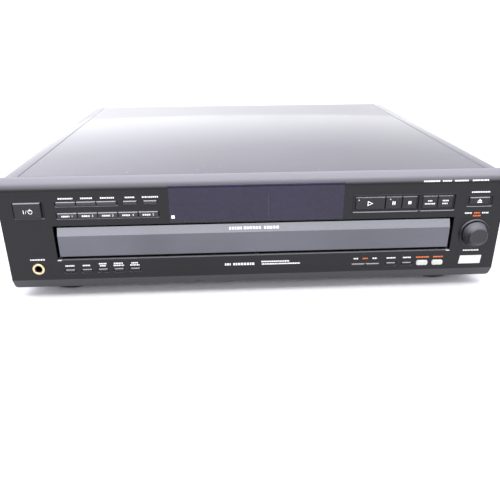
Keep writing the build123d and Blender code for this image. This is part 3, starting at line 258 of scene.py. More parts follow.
class Look(Enum):
    """Every finish on the changer, named for what the real one is."""

    # ABS with a fine spark grain: satin charcoal, paled where it rolls up and where it faces down, which is painted
    # light.
    FACE_ABS = Finish(
        "abs_spark_grain", "#0f0f12", "#18181c", 0.33, grain=0.7, bump=0.08, patch=90, ior=1.38, film=0.62, scuff=0.18
    )
    # Sheet steel under glossy dark lacquer: mirrors the room at a low angle, with dust lying on it.
    COVER_LACQUER = Finish(
        "lacquered_steel", "#45434e", "#5a5865", 0.15, metallic=0.55, grain=1.6, bump=0.03, patch=130,
        coat=1.0, coat_roughness=0.08, dust=0.10, dust_size=5.0,
    )
    # Polished acrylic, dyed violet: near black, with clean reflections.
    WINDOW_ACRYLIC = Finish(
        "dyed_acrylic", "#130e27", "#1c1535", 0.07, spread=0.02, grain=4, bump=0.01, ior=1.42, coat=0.15, film=0.35
    )
    # ABS under metallic lacquer: gunmetal gloss whose bevel catches the room's light.
    DRAWER_GLOSS = Finish(
        "gunmetal_lacquer", "#515259", "#5f6068", 0.18, metallic=0.75, spread=0.03, grain=0.5, bump=0.02, coat=0.6
    )
    # ABS keys, lightly polished: the same charcoal, a touch glossier.
    KEY_ABS = Finish("abs_satin_key", "#151518", "#1e1e22", 0.24, grain=0.6, bump=0.04, ior=1.42, film=0.8)
    # The mode and disc keys: the same plastic in a lighter charcoal, standing in for their lit faces, which is painted
    # light.
    MODE_KEY_ABS = Finish("abs_mode_key_painted_lit", "#2a2a2e", "#35353a", 0.26, grain=0.6, bump=0.04, ior=1.42, film=0.95)
    # Silver-white lacquered keys.
    PALE_KEY = Finish("silver_lacquer_key", "#b9b9b6", "#cbcbc8", 0.25, grain=0.4, bump=0.02, coat=0.5)
    # Grey ABS dial, turned-looking and satin.
    DIAL_ABS = Finish("abs_dial", "#1b1b1e", "#27272b", 0.24, metallic=0.1, grain=0.5, bump=0.04, film=0.42)
    # Gold-flashed brass: warm and bright.
    GILT = Finish("gilt_brass", "#dcc79c", "#ecdcbb", 0.22, metallic=1.0, grain=0.5, bump=0.02)
    # Zinc-plated sheet: dull grey with a faint spangle.
    ZINC = Finish("zinc_plate", "#8d9094", "#a6a9ad", 0.38, metallic=0.9, grain=5, bump=0.02, patch=12)
    # Moulded black polystyrene tray: dull, fine grain.
    TRAY_PS = Finish("polystyrene_tray", "#161618", "#202023", 0.42, grain=0.8, bump=0.10)
    # Glass-filled deck moulding: rougher grey-black.
    DECK = Finish("glass_filled_deck", "#242427", "#303034", 0.55, grain=1.0, bump=0.12)
    # Natural acetal: waxy off-white.
    ACETAL = Finish("natural_acetal", "#d8d5c6", "#e6e3d6", 0.40, grain=1.0, bump=0.03)
    # Laminate board under green resist: semi-gloss, blotched by copper beneath.
    BOARD = Finish("resist_board", "#1f4a2b", "#2c6238", 0.35, grain=2.5, bump=0.05, patch=9)
    # Phenolic paper board: brown-black and dull.
    PHENOLIC = Finish("phenolic_board", "#15120f", "#1f1b16", 0.5, grain=2.0, bump=0.05, patch=9)
    # Drawn steel motor can: brushed along its height.
    CAN = Finish("drawn_steel", "#a3a5a8", "#babcbf", 0.30, metallic=1.0, grain=0.8, bump=0.04, stretch=(1, 1, 0.08))
    # Varnished transformer laminations: dark, finely layered.
    CORE = Finish("varnished_core", "#2c2824", "#3d3731", 0.45, metallic=0.3, grain=0.7, bump=0.2, stretch=(8, 1, 0.1))
    # Rubber feet and belts: dull black.
    RUBBER = Finish("black_rubber", "#121213", "#1b1b1c", 0.62, grain=1.2, bump=0.14)
    # Blackened screws: dark, slightly metallic.
    SCREW = Finish("black_oxide", "#17171a", "#26262a", 0.35, metallic=0.7, grain=0.4, bump=0.05)
    # Printing inks: flat white, warm orange, and the red and white of the sockets' rings; the two inks glow faintly,
    # which is painted light.
    WHITE_INK = Finish("white_ink", "#dcdcde", "#f2f2f4", 0.50, grain=0.3, bump=0.05, glow=0.25)
    ORANGE_INK = Finish("orange_ink", "#d9641c", "#ec7c35", 0.50, grain=0.3, bump=0.05, glow=0.15)
    RED_BUSH = Finish("red_bush", "#a31f1c", "#bd302b", 0.35, grain=0.5, bump=0.03)
    WHITE_BUSH = Finish("white_bush", "#cfcfca", "#e2e2de", 0.35, grain=0.5, bump=0.03)
    # Display glass seen through the window.
    TUBE = Finish("display_glass", "#0d1214", "#151c1f", 0.12, grain=2, bump=0.01, coat=0.5)
    # Smooth bright plate and trim.
    BRIGHT = Finish("bright_plate", "#cfcdc8", "#dfddd8", 0.22, metallic=0.2, grain=0.4, bump=0.02, coat=0.6)
    VOID = Finish("dark_bore", "#060607", "#0b0b0c", 0.60, grain=0.8, bump=0.05)
    # Painted studio floor.
    FLOOR = Finish("pale_floor", "#efeff1", "#f6f6f8", 0.55, grain=8, bump=0.01, patch=400)


class Palette:
    """Builds each finish once and hands it out."""

    def __init__(self) -> None:
        """Start with nothing built."""
        self._made: dict[Look, bpy.types.Material] = {}

    def get(self, look: Look) -> bpy.types.Material:
        """Return a finish's material, building it at first use."""
        if look not in self._made:
            self._made[look] = look.value.build()
        return self._made[look]

    def paint(self, piece: bpy.types.Object, look: Look) -> None:
        """Give a whole piece one finish."""
        piece.data.materials.clear()
        piece.data.materials.append(self.get(look))


# ---- modelling helpers --------------------------------------------------------------------------
def deselect() -> None:
    """Deselect everything, so that an operator acts on the new piece alone."""
    if bpy.context.object and bpy.context.object.mode != "OBJECT":
        bpy.ops.object.mode_set(mode="OBJECT")
    bpy.ops.object.select_all(action="DESELECT")


def activate(piece: bpy.types.Object) -> None:
    """Make a piece the active one and the only one selected."""
    deselect()
    piece.select_set(True)
    bpy.context.view_layer.objects.active = piece


def settle(piece: bpy.types.Object) -> bpy.types.Object:
    """Move a piece's place into its mesh, so that its object lies at the origin."""
    activate(piece)
    bpy.ops.object.transform_apply(location=True, rotation=True, scale=True)
    return piece


def bar(name: str, low: Vector, high: Vector) -> bpy.types.Object:
    """Add a cube primitive that fills the space between two corners.

    Args:
        name: The piece's name.
        low: Lowest corner, in metres.
        high: Highest corner, in metres.

    Returns:
        The piece, with its place in its mesh.
    """
    deselect()
    bpy.ops.mesh.primitive_cube_add(size=1, location=(low + high) / 2, scale=high - low)
    piece = bpy.context.object
    piece.name = name
    return settle(piece)


def torus(
    name: str, place: Vector, radius: float, wire: float, segments: tuple[int, int], flat: float = 1.0
) -> bpy.types.Object:
    """Add a torus primitive that faces the front.

    Args:
        name: The piece's name.
        place: Its middle, in metres.
        radius: From its middle to the wire's middle, in millimetres.
        wire: The wire's radius in millimetres.
        segments: Segments round the ring, then round the wire.
        flat: Its thickness from front to back, as a share of the wire's.

    Returns:
        The piece, with its place in its mesh.
    """
    deselect()
    bpy.ops.mesh.primitive_torus_add(
        location=place, rotation=UPRIGHT, major_radius=radius * MM, minor_radius=wire * MM,
        major_segments=segments[0], minor_segments=segments[1],
    )
    piece = bpy.context.object
    piece.scale = (1, 1, flat)
    piece.name = name
    return settle(piece)


def soften(piece: bpy.types.Object, width: float, steps: int = 2) -> bpy.types.Object:
    """Round a piece's sharp edges with an applied bevel.

    Args:
        piece: The piece.
        width: Bevel width in millimetres.
        steps: Segments in the rounding.

    Returns:
        The same piece.
    """
    activate(piece)
    bevel = piece.modifiers.new("edges", "BEVEL")
    bevel.width = width * MM
    bevel.segments = steps
    bevel.limit_method = "ANGLE"
    bpy.ops.object.modifier_apply(modifier=bevel.name)
    bpy.ops.object.shade_smooth_by_angle(angle=math.radians(35))
    return piece


def pick_faces(piece: bpy.types.Object, wanted: Callable[[Vector, Vector], bool]) -> int:
    """Enter edit mode with only the faces selected that pass a test.

    Args:
        piece: The piece to edit.
        wanted: Test on a face's middle and normal.

    Returns:
        How many faces are selected.
    """
    activate(piece)
    bpy.ops.object.mode_set(mode="EDIT")
    bpy.ops.mesh.select_mode(type="FACE")
    bpy.ops.mesh.select_all(action="DESELECT")
    bpy.ops.object.mode_set(mode="OBJECT")
    count = 0
    for face in piece.data.polygons:
        face.select = bool(wanted(face.center, face.normal))
        count += face.select
    bpy.ops.object.mode_set(mode="EDIT")
    return count


def join(pieces: Sequence[bpy.types.Object], name: str) -> bpy.types.Object:
    """Join pieces into one.

    Args:
        pieces: The pieces, of which the first is kept.
        name: The joined piece's name.

    Returns:
        The joined piece.
    """
    deselect()
    for piece in pieces:
        piece.select_set(True)
    bpy.context.view_layer.objects.active = pieces[0]
    if len(pieces) > 1:
        bpy.ops.object.join()
    pieces[0].name = name
    return pieces[0]


@dataclass
class Face:
    """Where the face lies in the frame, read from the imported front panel."""

    collar: float = 1.2  # mm that the dial's collar stands proud of the face
    chin: float = 9.0  # mm from the face's bottom edge to the panel's lowest point
    front: float = field(init=False)
    base: float = field(init=False)

    def __post_init__(self) -> None:
        """Read the panel's box from the frame."""
        low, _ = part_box("front_panel")
        self.front = low.y + self.collar * MM
        self.base = low.z + self.chin * MM

    def at(self, x: float, z: float, depth: float = 0.0) -> Vector:
        """Return a point given in the face's own millimetres."""
        return Vector((x * MM, self.front + depth * MM, self.base + z * MM))


@dataclass
class Workshop:
    """What every sub-assembly needs: the face, the palette and the frame."""

    face: Face
    palette: Palette
    frame: dict

    def finish_piece(self, piece: bpy.types.Object, look: Look, body: str, slot: str) -> bpy.types.Object:
        """Paint a piece, set it riding on a body and report it.

        Args:
            piece: The piece, with its place in its mesh.
            look: Its finish.
            body: The body it moves with.
            slot: The record's material slot; not used.

        Returns:
            The same piece.
        """
        self.palette.paint(piece, look)
        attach(piece, body)
        LOG.info("%s: %d faces, rides on %s", piece.name, len(piece.data.polygons), body)
        return piece


# ---- printed marks ------------------------------------------------------------------------------
class Sign(Enum):
    """Plain symbols, each drawn as polygons in a unit square centred on the origin."""

    PLAY = (
        ((-0.5, -0.5), (0.5, 0.0), (0.22, 0.0), (-0.36, -0.28)),
        ((0.5, 0.0), (-0.5, 0.5), (-0.36, 0.28), (0.22, 0.0)),
        ((-0.5, 0.5), (-0.5, -0.5), (-0.36, -0.28), (-0.36, 0.28)),
    )
    PAUSE = (
        ((-0.4, -0.5), (-0.12, -0.5), (-0.12, 0.5), (-0.4, 0.5)),
        ((0.12, -0.5), (0.4, -0.5), (0.4, 0.5), (0.12, 0.5)),
    )
    STOP = (((-0.42, -0.42), (0.42, -0.42), (0.42, 0.42), (-0.42, 0.42)),)
    EJECT = (((-0.5, -0.1), (0.5, -0.1), (0.0, 0.5)), ((-0.5, -0.5), (0.5, -0.5), (0.5, -0.25), (-0.5, -0.25)))
    BACK = (((0.0, -0.4), (0.0, 0.4), (-0.5, 0.0)), ((0.5, -0.4), (0.5, 0.4), (0.0, 0.0)))
    FORWARD = (((0.0, -0.4), (0.5, 0.0), (0.0, 0.4)), ((-0.5, -0.4), (0.0, 0.0), (-0.5, 0.4)))
    SLASH = (((-0.5, -0.5), (-0.3, -0.5), (0.5, 0.5), (0.3, 0.5)),)
    ONE_LINE = (((-0.5, -0.5), (0.5, -0.5), (0.5, 0.5), (-0.5, 0.5)),)


@dataclass
class Printer:
    """Lays thin printed marks on the face and on the keys."""

    shop: Workshop
    lift: float = 0.04  # mm of ink above the surface
    small_type: float = 1.25  # mm high; the dashes and gaps are measured for type of this height
    dash: tuple[float, float] = (0.7, 1.3)  # mm, shortest and longest
    gap: float = 0.42
    least: float = 0.4  # mm, no dash starts with less room than this

    def sign(self, sign: Sign, x: float, z: float, width: float, height: float, depth: float) -> bpy.types.Object:
        """Draw one plain symbol.

        Args:
            sign: Which symbol.
            x: Its middle across the face, in millimetres.
            z: Its middle above the face's bottom edge, in millimetres.
            width: Its width in millimetres.
            height: Its height in millimetres.
            depth: Depth of the surface it lies on, in millimetres.

        Returns:
            A thin mesh piece.
        """
        parts = []
        for outline in sign.value:
            deselect()
            middle = self.shop.face.at(x, z, depth - self.lift)
            bpy.ops.mesh.primitive_circle_add(
                vertices=len(outline), fill_type="NGON", location=middle, rotation=UPRIGHT
            )
            piece = settle(bpy.context.object)
            for vertex, (across, up) in zip(piece.data.vertices, outline):
                vertex.co = middle + Vector((across * width, 0, up * height)) * MM
            parts.append(piece)
        return join(parts, f"mark_{sign.name.lower()}")

    def words(self, x: float, z: float, width: float, height: float, depth: float, seed: int) -> bpy.types.Object:
        """Stand in for a small printed word with a broken plain bar.

        Args:
            x: The word's middle across the face, in millimetres.
            z: Its middle above the face's bottom edge.
            width: Its width.
            height: Its height.
            depth: Depth of the surface it lies on.
            seed: Seed of the uneven breaks.

        Returns:
            A thin mesh piece of short dashes.
        """
        draw = random.Random(seed)
        scale = max(1.0, height / self.small_type)
        dashes = []
        start = -width / 2
        while start < width / 2 - self.least:
            length = min(draw.uniform(*self.dash) * scale, width / 2 - start)
            dashes.append(self.sign(Sign.ONE_LINE, x + start + length / 2, z, length, height, depth))
            start += length + self.gap * scale
        return join(dashes, "word_bar")

    def numeral(self, text: str, x: float, z: float, height: float, depth: float) -> bpy.types.Object:
        """Set a plain numeral on the face.

        Args:
            text: The numeral.
            x: Its middle across the face, in millimetres.
            z: Its middle above the face's bottom edge.
            height: Height of the type in millimetres.
            depth: Depth of the surface it lies on.

        Returns:
            A thin mesh piece.
        """
        place = self.shop.face.at(x, z, depth - self.lift)
        return lettering(text, height, place, UPRIGHT)


def lettering(text: str, height: float, place: Vector, turn: Point) -> bpy.types.Object:
    """Make a numeral as a mesh.

    Args:
        text: The numeral.
        height: Height of the type in millimetres.
        place: Where its middle goes, in metres.
        turn: Euler angles of the text's plane.

    Returns:
        The mesh piece, with its place in its mesh.
    """
    deselect()
    bpy.ops.object.text_add()
    piece = bpy.context.object
    piece.data.body = text
    piece.data.size = height * MM * 1.4
    piece.data.align_x = "CENTER"
    piece.data.align_y = "CENTER"
    piece.data.extrude = 0.02 * MM
    bpy.ops.object.convert(target="MESH")
    piece = bpy.context.object
    piece.location = place
    piece.rotation_euler = turn
    return settle(piece)


@dataclass
class Legends:
    """All the printing on the face: generic bars for words, plain numerals and symbols."""

    shop: Workshop
    label_height: float = 1.25
    lip_words_z: float = 82.7
    lip_words: tuple[tuple[float, float], ...] = ((149.0, 14.4), (162.0, 8.0), (174.4, 12.0), (191.0, 14.0))
    lip_radius: float = 10.0
    panel_top: float = 90.0
    bevel_height: float = 6.9
    bevel_depth: float = 3.0
    large_height: float = 2.2  # mm, the larger words
    power_ring: float = 1.7
    power_wire: float = 0.22
    # Words in white on the panel: middle x, middle z, width.
    white_words: tuple[Point, ...] = (
        (-159.0, 74.2, 12.0), (-141.8, 74.2, 9.6), (-124.7, 74.2, 11.4), (-105.9, 74.2, 8.4), (-89.4, 74.2, 13.2),
        (192.8, 72.3, 16.0), (193.0, 17.8, 14.6), (-190.3, 19.4, 12.4),
        (-163.5, 12.9, 7.6), (-149.0, 12.9, 7.0), (-135.2, 14.2, 6.4), (-135.2, 12.2, 5.0), (-121.4, 14.2, 8.2),
        (-121.4, 12.2, 9.0), (-107.3, 14.2, 6.0), (-107.3, 12.2, 8.4), (120.6, 12.2, 8.0), (135.2, 12.2, 7.6),
        (184.8, 53.3, 6.0), (200.0, 53.3, 6.0), (16.4, 12.0, 25.0), (21.2, 9.6, 34.0),
    )
    orange_words: tuple[Point, ...] = (
        (149.3, 12.2, 12.0), (163.6, 12.2, 9.0), (192.6, 53.3, 5.4), (192.9, 50.7, 7.0), (97.3, 12.3, 5.0),
    )

    def build(self) -> None:
        """Print the panel, then the keys."""
        printer = Printer(self.shop)
        for name, words, look in (
            ("white_legends", self.white_words, Look.WHITE_INK),
            ("orange_legends", self.orange_words, Look.ORANGE_INK),
        ):
            marks = [
                printer.words(x, z, width, self.label_height, 0.0, seed=number)
                for number, (x, z, width) in enumerate(words)
            ]
            if look is Look.WHITE_INK:
                marks.append(printer.sign(Sign.BACK, 88.3, 12.3, 4.4, 2.2, 0.0))
                marks.append(printer.sign(Sign.FORWARD, 106.0, 12.3, 4.4, 2.2, 0.0))
                marks.append(printer.sign(Sign.STOP, -71.4, 56.0, 3.4, 3.4, 0.0))
                marks.append(printer.words(-26.0, 10.2, 5.0, self.large_height, 0.0, 31))
                marks.append(printer.words(-11.4, 10.2, 19.4, self.large_height, 0.0, 32))
                marks.append(self._lip_words(printer))
            self.shop.finish_piece(join(marks, name), look, "case", "key_pale")
        self._drawer_words(printer)
        self._keys(printer)

    def _lip_words(self, printer: Printer) -> bpy.types.Object:
        """Print the word bars that follow the curved lip.

        Args:
            printer: The printer.

        Returns:
            The bars as one piece.
        """
        words = [
            printer.words(x, self.lip_words_z, width, self.label_height, 0.0, seed)
            for seed, (x, width) in enumerate(self.lip_words, start=41)
        ]
        piece = join(words, "lip_words")
        face = self.shop.face
        for vertex in piece.data.vertices:
            rise = (vertex.co.z - face.base) / MM - (self.panel_top - self.lip_radius)
            depth = self.lip_radius - math.sqrt(self.lip_radius**2 - rise**2)
            vertex.co.y = face.front + (depth - printer.lift) * MM
        return piece

    def _drawer_words(self, printer: Printer) -> None:
        """Print the word bars on the drawer's sloping bevel."""
        low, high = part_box("drawer_front")
        face = self.shop.face
        rise = (high.z - face.base) / MM - self.bevel_height / 2
        spans = ((-18.5, 11.0), (-3.6, 15.6), (12.6, 13.0))
        words = [
            printer.words(x, rise, width, self.large_height, 0.0, seed)
            for seed, (x, width) in enumerate(spans, start=51)
        ]
        piece = join(words, "drawer_words")
        for vertex in piece.data.vertices:
            drop = (high.z - vertex.co.z) / MM / self.bevel_height
            vertex.co.y = low.y + (self.bevel_depth * (1 - drop) - printer.lift) * MM
        piece.name = "drawer_legend"
        self.shop.finish_piece(piece, Look.WHITE_INK, "drawer", "key_pale")

    def _keys(self, printer: Printer) -> None:
        """Print each key that carries a symbol, on the key's own body."""
        signs = {
            "play_key": (Sign.PLAY, 5.0, 4.6),
            "pause_key": (Sign.PAUSE, 3.2, 3.2),
            "stop_key": (Sign.STOP, 3.2, 3.2),
            "open_close_key": (Sign.EJECT, 4.2, 3.4),
        }
        for key, (sign, width, height) in signs.items():
            x, z, depth = self.key_face(key)
            mark = printer.sign(sign, x, z, width, height, depth)
            mark.name = f"{key}_mark"
            self.shop.finish_piece(mark, Look.WHITE_INK, key, "key_pale")
        for key, upper, lower in (("exchange_key", 4.0, 9.0), ("skip_key", 5.4, 5.4)):
            x, z, depth = self.key_face(key)
            lines = [printer.words(x, z + 1.2, upper, 1.2, depth, 3), printer.words(x, z - 1.4, lower, 1.2, depth, 4)]
            self.shop.finish_piece(join(lines, f"{key}_mark"), Look.WHITE_INK, key, "key_pale")
        for number in range(1, 6):
            key = f"disc_{number}_key"
            x, z, depth = self.key_face(key)
            parts = [printer.words(x - 1.4, z - 0.3, 6.6, 1.35, depth, number)]
            parts.append(printer.numeral(str(number), x + 4.2, z - 0.3, 1.9, depth))
            mark = join(parts, "mark")
            mark.name = f"{key}_mark"
            self.shop.finish_piece(mark, Look.WHITE_INK, key, "key_pale")
        self._power(printer)

    def _power(self, printer: Printer) -> None:
        """Print the power key's broken ring and stroke."""
        x, z, depth = self.key_face("power_key")
        place = self.shop.face.at(x + 2.4, z - 0.6, depth)
        ring = torus("ring", place, self.power_ring, self.power_wire, (40, 8))
        stroke = printer.sign(Sign.ONE_LINE, x + 2.4, z + 0.9, 0.45, 2.2, depth - 0.2)
        bar_mark = printer.sign(Sign.ONE_LINE, x - 3.0, z - 0.6, 0.5, 3.4, depth)
        slash = printer.sign(Sign.SLASH, x - 1.0, z - 0.6, 1.6, 3.0, depth)
        mark = join([ring, stroke, bar_mark, slash], "power_key_mark")
        self.shop.finish_piece(mark, Look.WHITE_INK, "power_key", "key_pale")

    def key_face(self, key: str) -> Point:
        """Return the middle x and z of a key, and its face's depth, in millimetres."""
        low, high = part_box(key)
        face = self.shop.face
        x = (low.x + high.x) / 2 / MM
        z = ((low.z + high.z) / 2 - face.base) / MM
        return x, z, (low.y - face.front) / MM


# ---- the case -----------------------------------------------------------------------------------
@dataclass
class CoverShell:
    """The folded cover: pressed grooves near its sides, sloping edges and soft folds."""

    shop: Workshop
    sheet: float = 1.0
    groove: float = 198.6  # mm from the middle to the pressed line
    groove_width: float = 0.9
    groove_depth: float = 0.7
    fall: float = 1.6  # mm that the outer edges lie below the middle
    corner: float = 0.4

    def build(self) -> bpy.types.Object:
        """Model the cover in place of its plain node.

        Returns:
            The cover.
        """
        low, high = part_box("top_cover")
        piece = bar("cover_shell", low, high)
        count = pick_faces(piece, lambda middle, normal: abs(normal.y) > 0.9 or normal.z < -0.9)
        LOG.info("cover: %d open ends", count)
        bpy.ops.mesh.delete(type="FACE")
        for side in (-1, 1):
            for offset in (-self.groove_width, 0.0, self.groove_width):
                bpy.ops.mesh.select_all(action="SELECT")
                x = side * (self.groove + offset) * MM
                bpy.ops.mesh.bisect(plane_co=(x, 0, 0), plane_no=(1, 0, 0))
        bpy.ops.object.mode_set(mode="OBJECT")
        top = high.z
        for vertex in piece.data.vertices:
            if vertex.co.z < top - 1e-5:
                continue
            reach = abs(vertex.co.x) / MM
            if abs(reach - self.groove) < 0.01:
                vertex.co.z -= self.groove_depth * MM
            elif reach > self.groove + self.groove_width + 1:
                vertex.co.z -= self.fall * MM
        thick = piece.modifiers.new("sheet", "SOLIDIFY")
        thick.thickness = self.sheet * MM
        thick.offset = -1
        activate(piece)
        bpy.ops.object.modifier_apply(modifier=thick.name)
        soften(piece, self.corner, 3)
        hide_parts("top_cover")
        return self.shop.finish_piece(piece, Look.COVER_LACQUER, "case", "cover_steel")


@dataclass
class FaceTrim:
    """Small fittings on the face: slot trim, badge plate, dial ring, lamps and window details."""

    shop: Workshop
    slot_half: float = 173.0
    slot_base: float = 18.5
    slot_line: float = 0.4  # mm high
    corner_reach: float = 3.2
    dial_x: float = 192.9
    dial_z: float = 34.0
    ring_radius: float = 12.4
    ring_wire: float = 0.9
    # The badge plate's lower left and upper right corners, as x and z, and its ends' slant.
    badge: tuple[tuple[float, float], tuple[float, float]] = ((182.9, 4.8), (202.5, 12.9))
    badge_slant: float = 0.8
    lamps: tuple[tuple[str, float, float], ...] = (("play_key", 87.5, 66.9), ("pause_key", 114.8, 67.1))
    lamp_radius: float = 0.55
    divider_x: float = 9.5
    window_half: float = 74.2
    window_base: float = 51.0

    def build(self) -> None:
        """Make every trim piece."""
        self._slot_trim()
        self._badge()
        self._dial_ring()
        self._lamps()
        self._window()

    def _slot_trim(self) -> None:
        """Lay the bright line under the slot and the two marks at its corners."""
        at = self.shop.face.at
        top = self.slot_base - 0.1
        line = bar("line", at(-self.slot_half, top - self.slot_line, -0.12), at(self.slot_half, top, 0.1))
        self.shop.finish_piece(soften(join([line], "slot_line"), 0.05), Look.DIAL_ABS, "case", "panel_plastic")
        corners = []
        for side in (-1, 1):
            ends = sorted((side * (self.slot_half + 0.2), side * (self.slot_half - self.corner_reach)))
            low = at(ends[0], self.slot_base - 0.6, -0.25)
            corners.append(bar("corner", low, at(ends[1], self.slot_base + 0.1, 1.5)))
        piece = soften(join(corners, "slot_corners"), 0.1)
        self.shop.finish_piece(piece, Look.BRIGHT, "case", "key_pale")

    def _badge(self) -> None:
        """Set the blank plate with slanted ends at the lower right."""
        at = self.shop.face.at
        (left, bottom), (right, top) = self.badge
        piece = bar("badge_plate", at(left, bottom, -0.6), at(right, top, 0.2))
        middle = at((left + right) / 2, (bottom + top) / 2)
        for vertex in piece.data.vertices:
            if vertex.co.z > middle.z:
                vertex.co.x += self.badge_slant * MM
            elif vertex.co.x > middle.x:
                vertex.co.x += self.badge_slant * MM * 0.4
        self.shop.finish_piece(soften(piece, 0.3, 3), Look.BRIGHT, "case", "key_pale")

    def _dial_ring(self) -> None:
        """Turn the satin ring round the dial's well."""
        place = self.shop.face.at(self.dial_x, self.dial_z, -1.0)
        ring = torus("dial_ring", place, self.ring_radius, self.ring_wire, (96, 16), 0.6)
        bpy.ops.object.shade_smooth()
        self.shop.finish_piece(ring, Look.FACE_ABS, "case", "panel_plastic")

    def _lamps(self) -> None:
        """Set the two small lamps beside the play and pause symbols."""
        for key, x, z in self.lamps:
            low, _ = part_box(key)
            depth = (low.y - self.shop.face.front) / MM
            deselect()
            bpy.ops.mesh.primitive_uv_sphere_add(
                segments=20, ring_count=10, radius=self.lamp_radius * MM,
                location=self.shop.face.at(x, z, depth), scale=(1, 0.5, 1),
            )
            lamp = bpy.context.object
            lamp.name = f"{key}_lamp"
            settle(lamp)
            bpy.ops.object.shade_smooth()
            self.shop.finish_piece(lamp, Look.BRIGHT, key, "key_pale")

    def _window(self) -> None:
        """Draw the window's hairline divider and its lower edge."""
        at = self.shop.face.at
        x = self.divider_x
        divider = bar("window_divider", at(x, self.window_base + 0.4, -0.05), at(x + 0.4, 79.5, 0.05))
        self.shop.finish_piece(soften(divider, 0.02), Look.TUBE, "case", "display_glass")
        low = at(-self.window_half, self.window_base, -0.08)
        edge = bar("window_edge", low, at(self.window_half, self.window_base + 0.35, 0.06))
        self.shop.finish_piece(soften(edge, 0.03), Look.DIAL_ABS, "case", "panel_plastic")


@dataclass
class Dial:
    """The jog dial: flared skirt, rolled edge and a stepped dish in its face."""

    shop: Workshop
    facets: int = 96
    # Rings from behind the face forward: radius, then reach before the face.
    rings: tuple[tuple[float, float], ...] = (
        (8.3, -1.8), (8.3, 1.95), (11.0, 2.0), (11.4, 2.3), (11.3, 2.7), (8.75, 7.4), (8.45, 7.9), (8.3, 9.0),
        (8.15, 9.5), (7.75, 9.85), (7.2, 10.0), (6.6, 10.0), (6.3, 9.75), (6.1, 9.7), (2.0, 9.65), (0.3, 9.65),
    )

    def build(self) -> bpy.types.Object:
        """Model the dial in place of its plain node.

        Returns:
            The dial.
        """
        low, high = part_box("jog_knob")
        face = self.shop.face
        x = (low.x + high.x) / 2 / MM
        z = ((low.z + high.z) / 2 - face.base) / MM
        (radius, start), *rest = self.rings
        deselect()
        bpy.ops.mesh.primitive_circle_add(
            vertices=self.facets, radius=radius * MM, fill_type="NGON", location=face.at(x, z, -start),
            rotation=UPRIGHT,
        )
        knob = settle(bpy.context.object)
        knob.name = "jog_dial"
        bpy.ops.object.mode_set(mode="EDIT")
        bpy.ops.mesh.select_all(action="SELECT")
        for wide, reach in rest:
            bpy.ops.mesh.extrude_region_move(TRANSFORM_OT_translate={"value": (0, (start - reach) * MM, 0)})
            bpy.ops.transform.resize(value=(wide / radius, 1, wide / radius))
            radius, start = wide, reach
        bpy.ops.mesh.select_all(action="SELECT")
        bpy.ops.mesh.normals_make_consistent(inside=False)
        bpy.ops.object.mode_set(mode="OBJECT")
        bpy.ops.object.shade_smooth_by_angle(angle=math.radians(30))
        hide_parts("jog_knob")
        return self.shop.finish_piece(knob, Look.DIAL_ABS, "jog_knob", "knob_plastic")


@dataclass
class Socket:
    """The headphone socket's rolled gilt ring and its dark bore."""

    shop: Workshop
    x: float = -190.3
    z: float = 11.0
    ring_radius: float = 4.25
    ring_wire: float = 0.95
    bore: float = 3.15
    sleeve_length: float = 18.0
    sleeve_wall: float = 0.3

    def build(self) -> None:
        """Roll the ring and line the bore."""
        at = self.shop.face.at
        ring = torus("socket_ring", at(self.x, self.z, -1.1), self.ring_radius, self.ring_wire, (64, 16), 0.7)
        bpy.ops.object.shade_smooth()
        self.shop.finish_piece(ring, Look.GILT, "case", "gilt")
        deselect()
        bpy.ops.mesh.primitive_cylinder_add(
            vertices=48, radius=self.bore * MM, depth=self.sleeve_length * MM,
            location=at(self.x, self.z, self.sleeve_length / 2 + 0.2), rotation=UPRIGHT,
        )
        sleeve = settle(bpy.context.object)
        sleeve.name = "socket_sleeve"
        pick_faces(sleeve, lambda spot, normal: normal.y < -0.9)
        bpy.ops.mesh.inset(thickness=self.sleeve_wall * MM)
        bpy.ops.mesh.extrude_region_move(TRANSFORM_OT_translate={"value": (0, (self.sleeve_length - 1) * MM, 0)})
        bpy.ops.object.mode_set(mode="OBJECT")
        self.shop.finish_piece(sleeve, Look.VOID, "case", "socket_plastic")


# ---- drawer, carousel and rear ------------------------------------------------------------------
@dataclass
class CarouselDressing:
    """Plain numerals between the platter's wells, and rest pads in them."""

    shop: Workshop
    wells: int = 5
    axis_depth: float = 180.0  # mm from the face to the platter's axis
    ring: float = 103.0
    numeral_ring: float = 150.0
    numeral_height: float = 9.0
    pad_turns: Point = (120, 180, 240)  # degrees round a well, from its outward side
    pad_ring: float = 40.0
    pad_radius: float = 3.0
    pad_thickness: float = 0.5
    pad_drop: float = 4.8  # mm from the platter's top to a pad's middle

    def build(self) -> None:
        """Add a number between each pair of wells and small rest pads in each well."""
        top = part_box("carousel")[1].z
        centre = Vector((0, self.shop.face.front + self.axis_depth * MM, 0))
        step = 360 / self.wells
        numerals = []
        pads = []
        for well in range(self.wells):
            angle = math.radians(90 + step / 2 + well * step)
            arm = Vector((math.cos(angle), math.sin(angle), 0))
            spot = centre + arm * self.numeral_ring * MM + Vector((0, 0, top + 0.02 * MM))
            numerals.append(lettering(str(well + 1), self.numeral_height, spot, (0, 0, angle - math.pi / 2)))
            bearing = math.radians(90 + well * step)
            eye = centre + Vector((math.cos(bearing), math.sin(bearing), 0)) * self.ring * MM
            for turn in self.pad_turns:
                reach = bearing + math.radians(turn)
                pad = eye + Vector((math.cos(reach), math.sin(reach), 0)) * self.pad_ring * MM
                deselect()
                bpy.ops.mesh.primitive_cylinder_add(
                    vertices=32, radius=self.pad_radius * MM, depth=self.pad_thickness * MM,
                    location=(pad.x, pad.y, top - self.pad_drop * MM),
                )
                pads.append(settle(bpy.context.object))
        self.shop.finish_piece(join(numerals, "carousel_numerals"), Look.WHITE_INK, "carousel", "key_pale")
        self.shop.finish_piece(soften(join(pads, "carousel_pads"), 0.15), Look.RUBBER, "carousel", "belt_rubber")


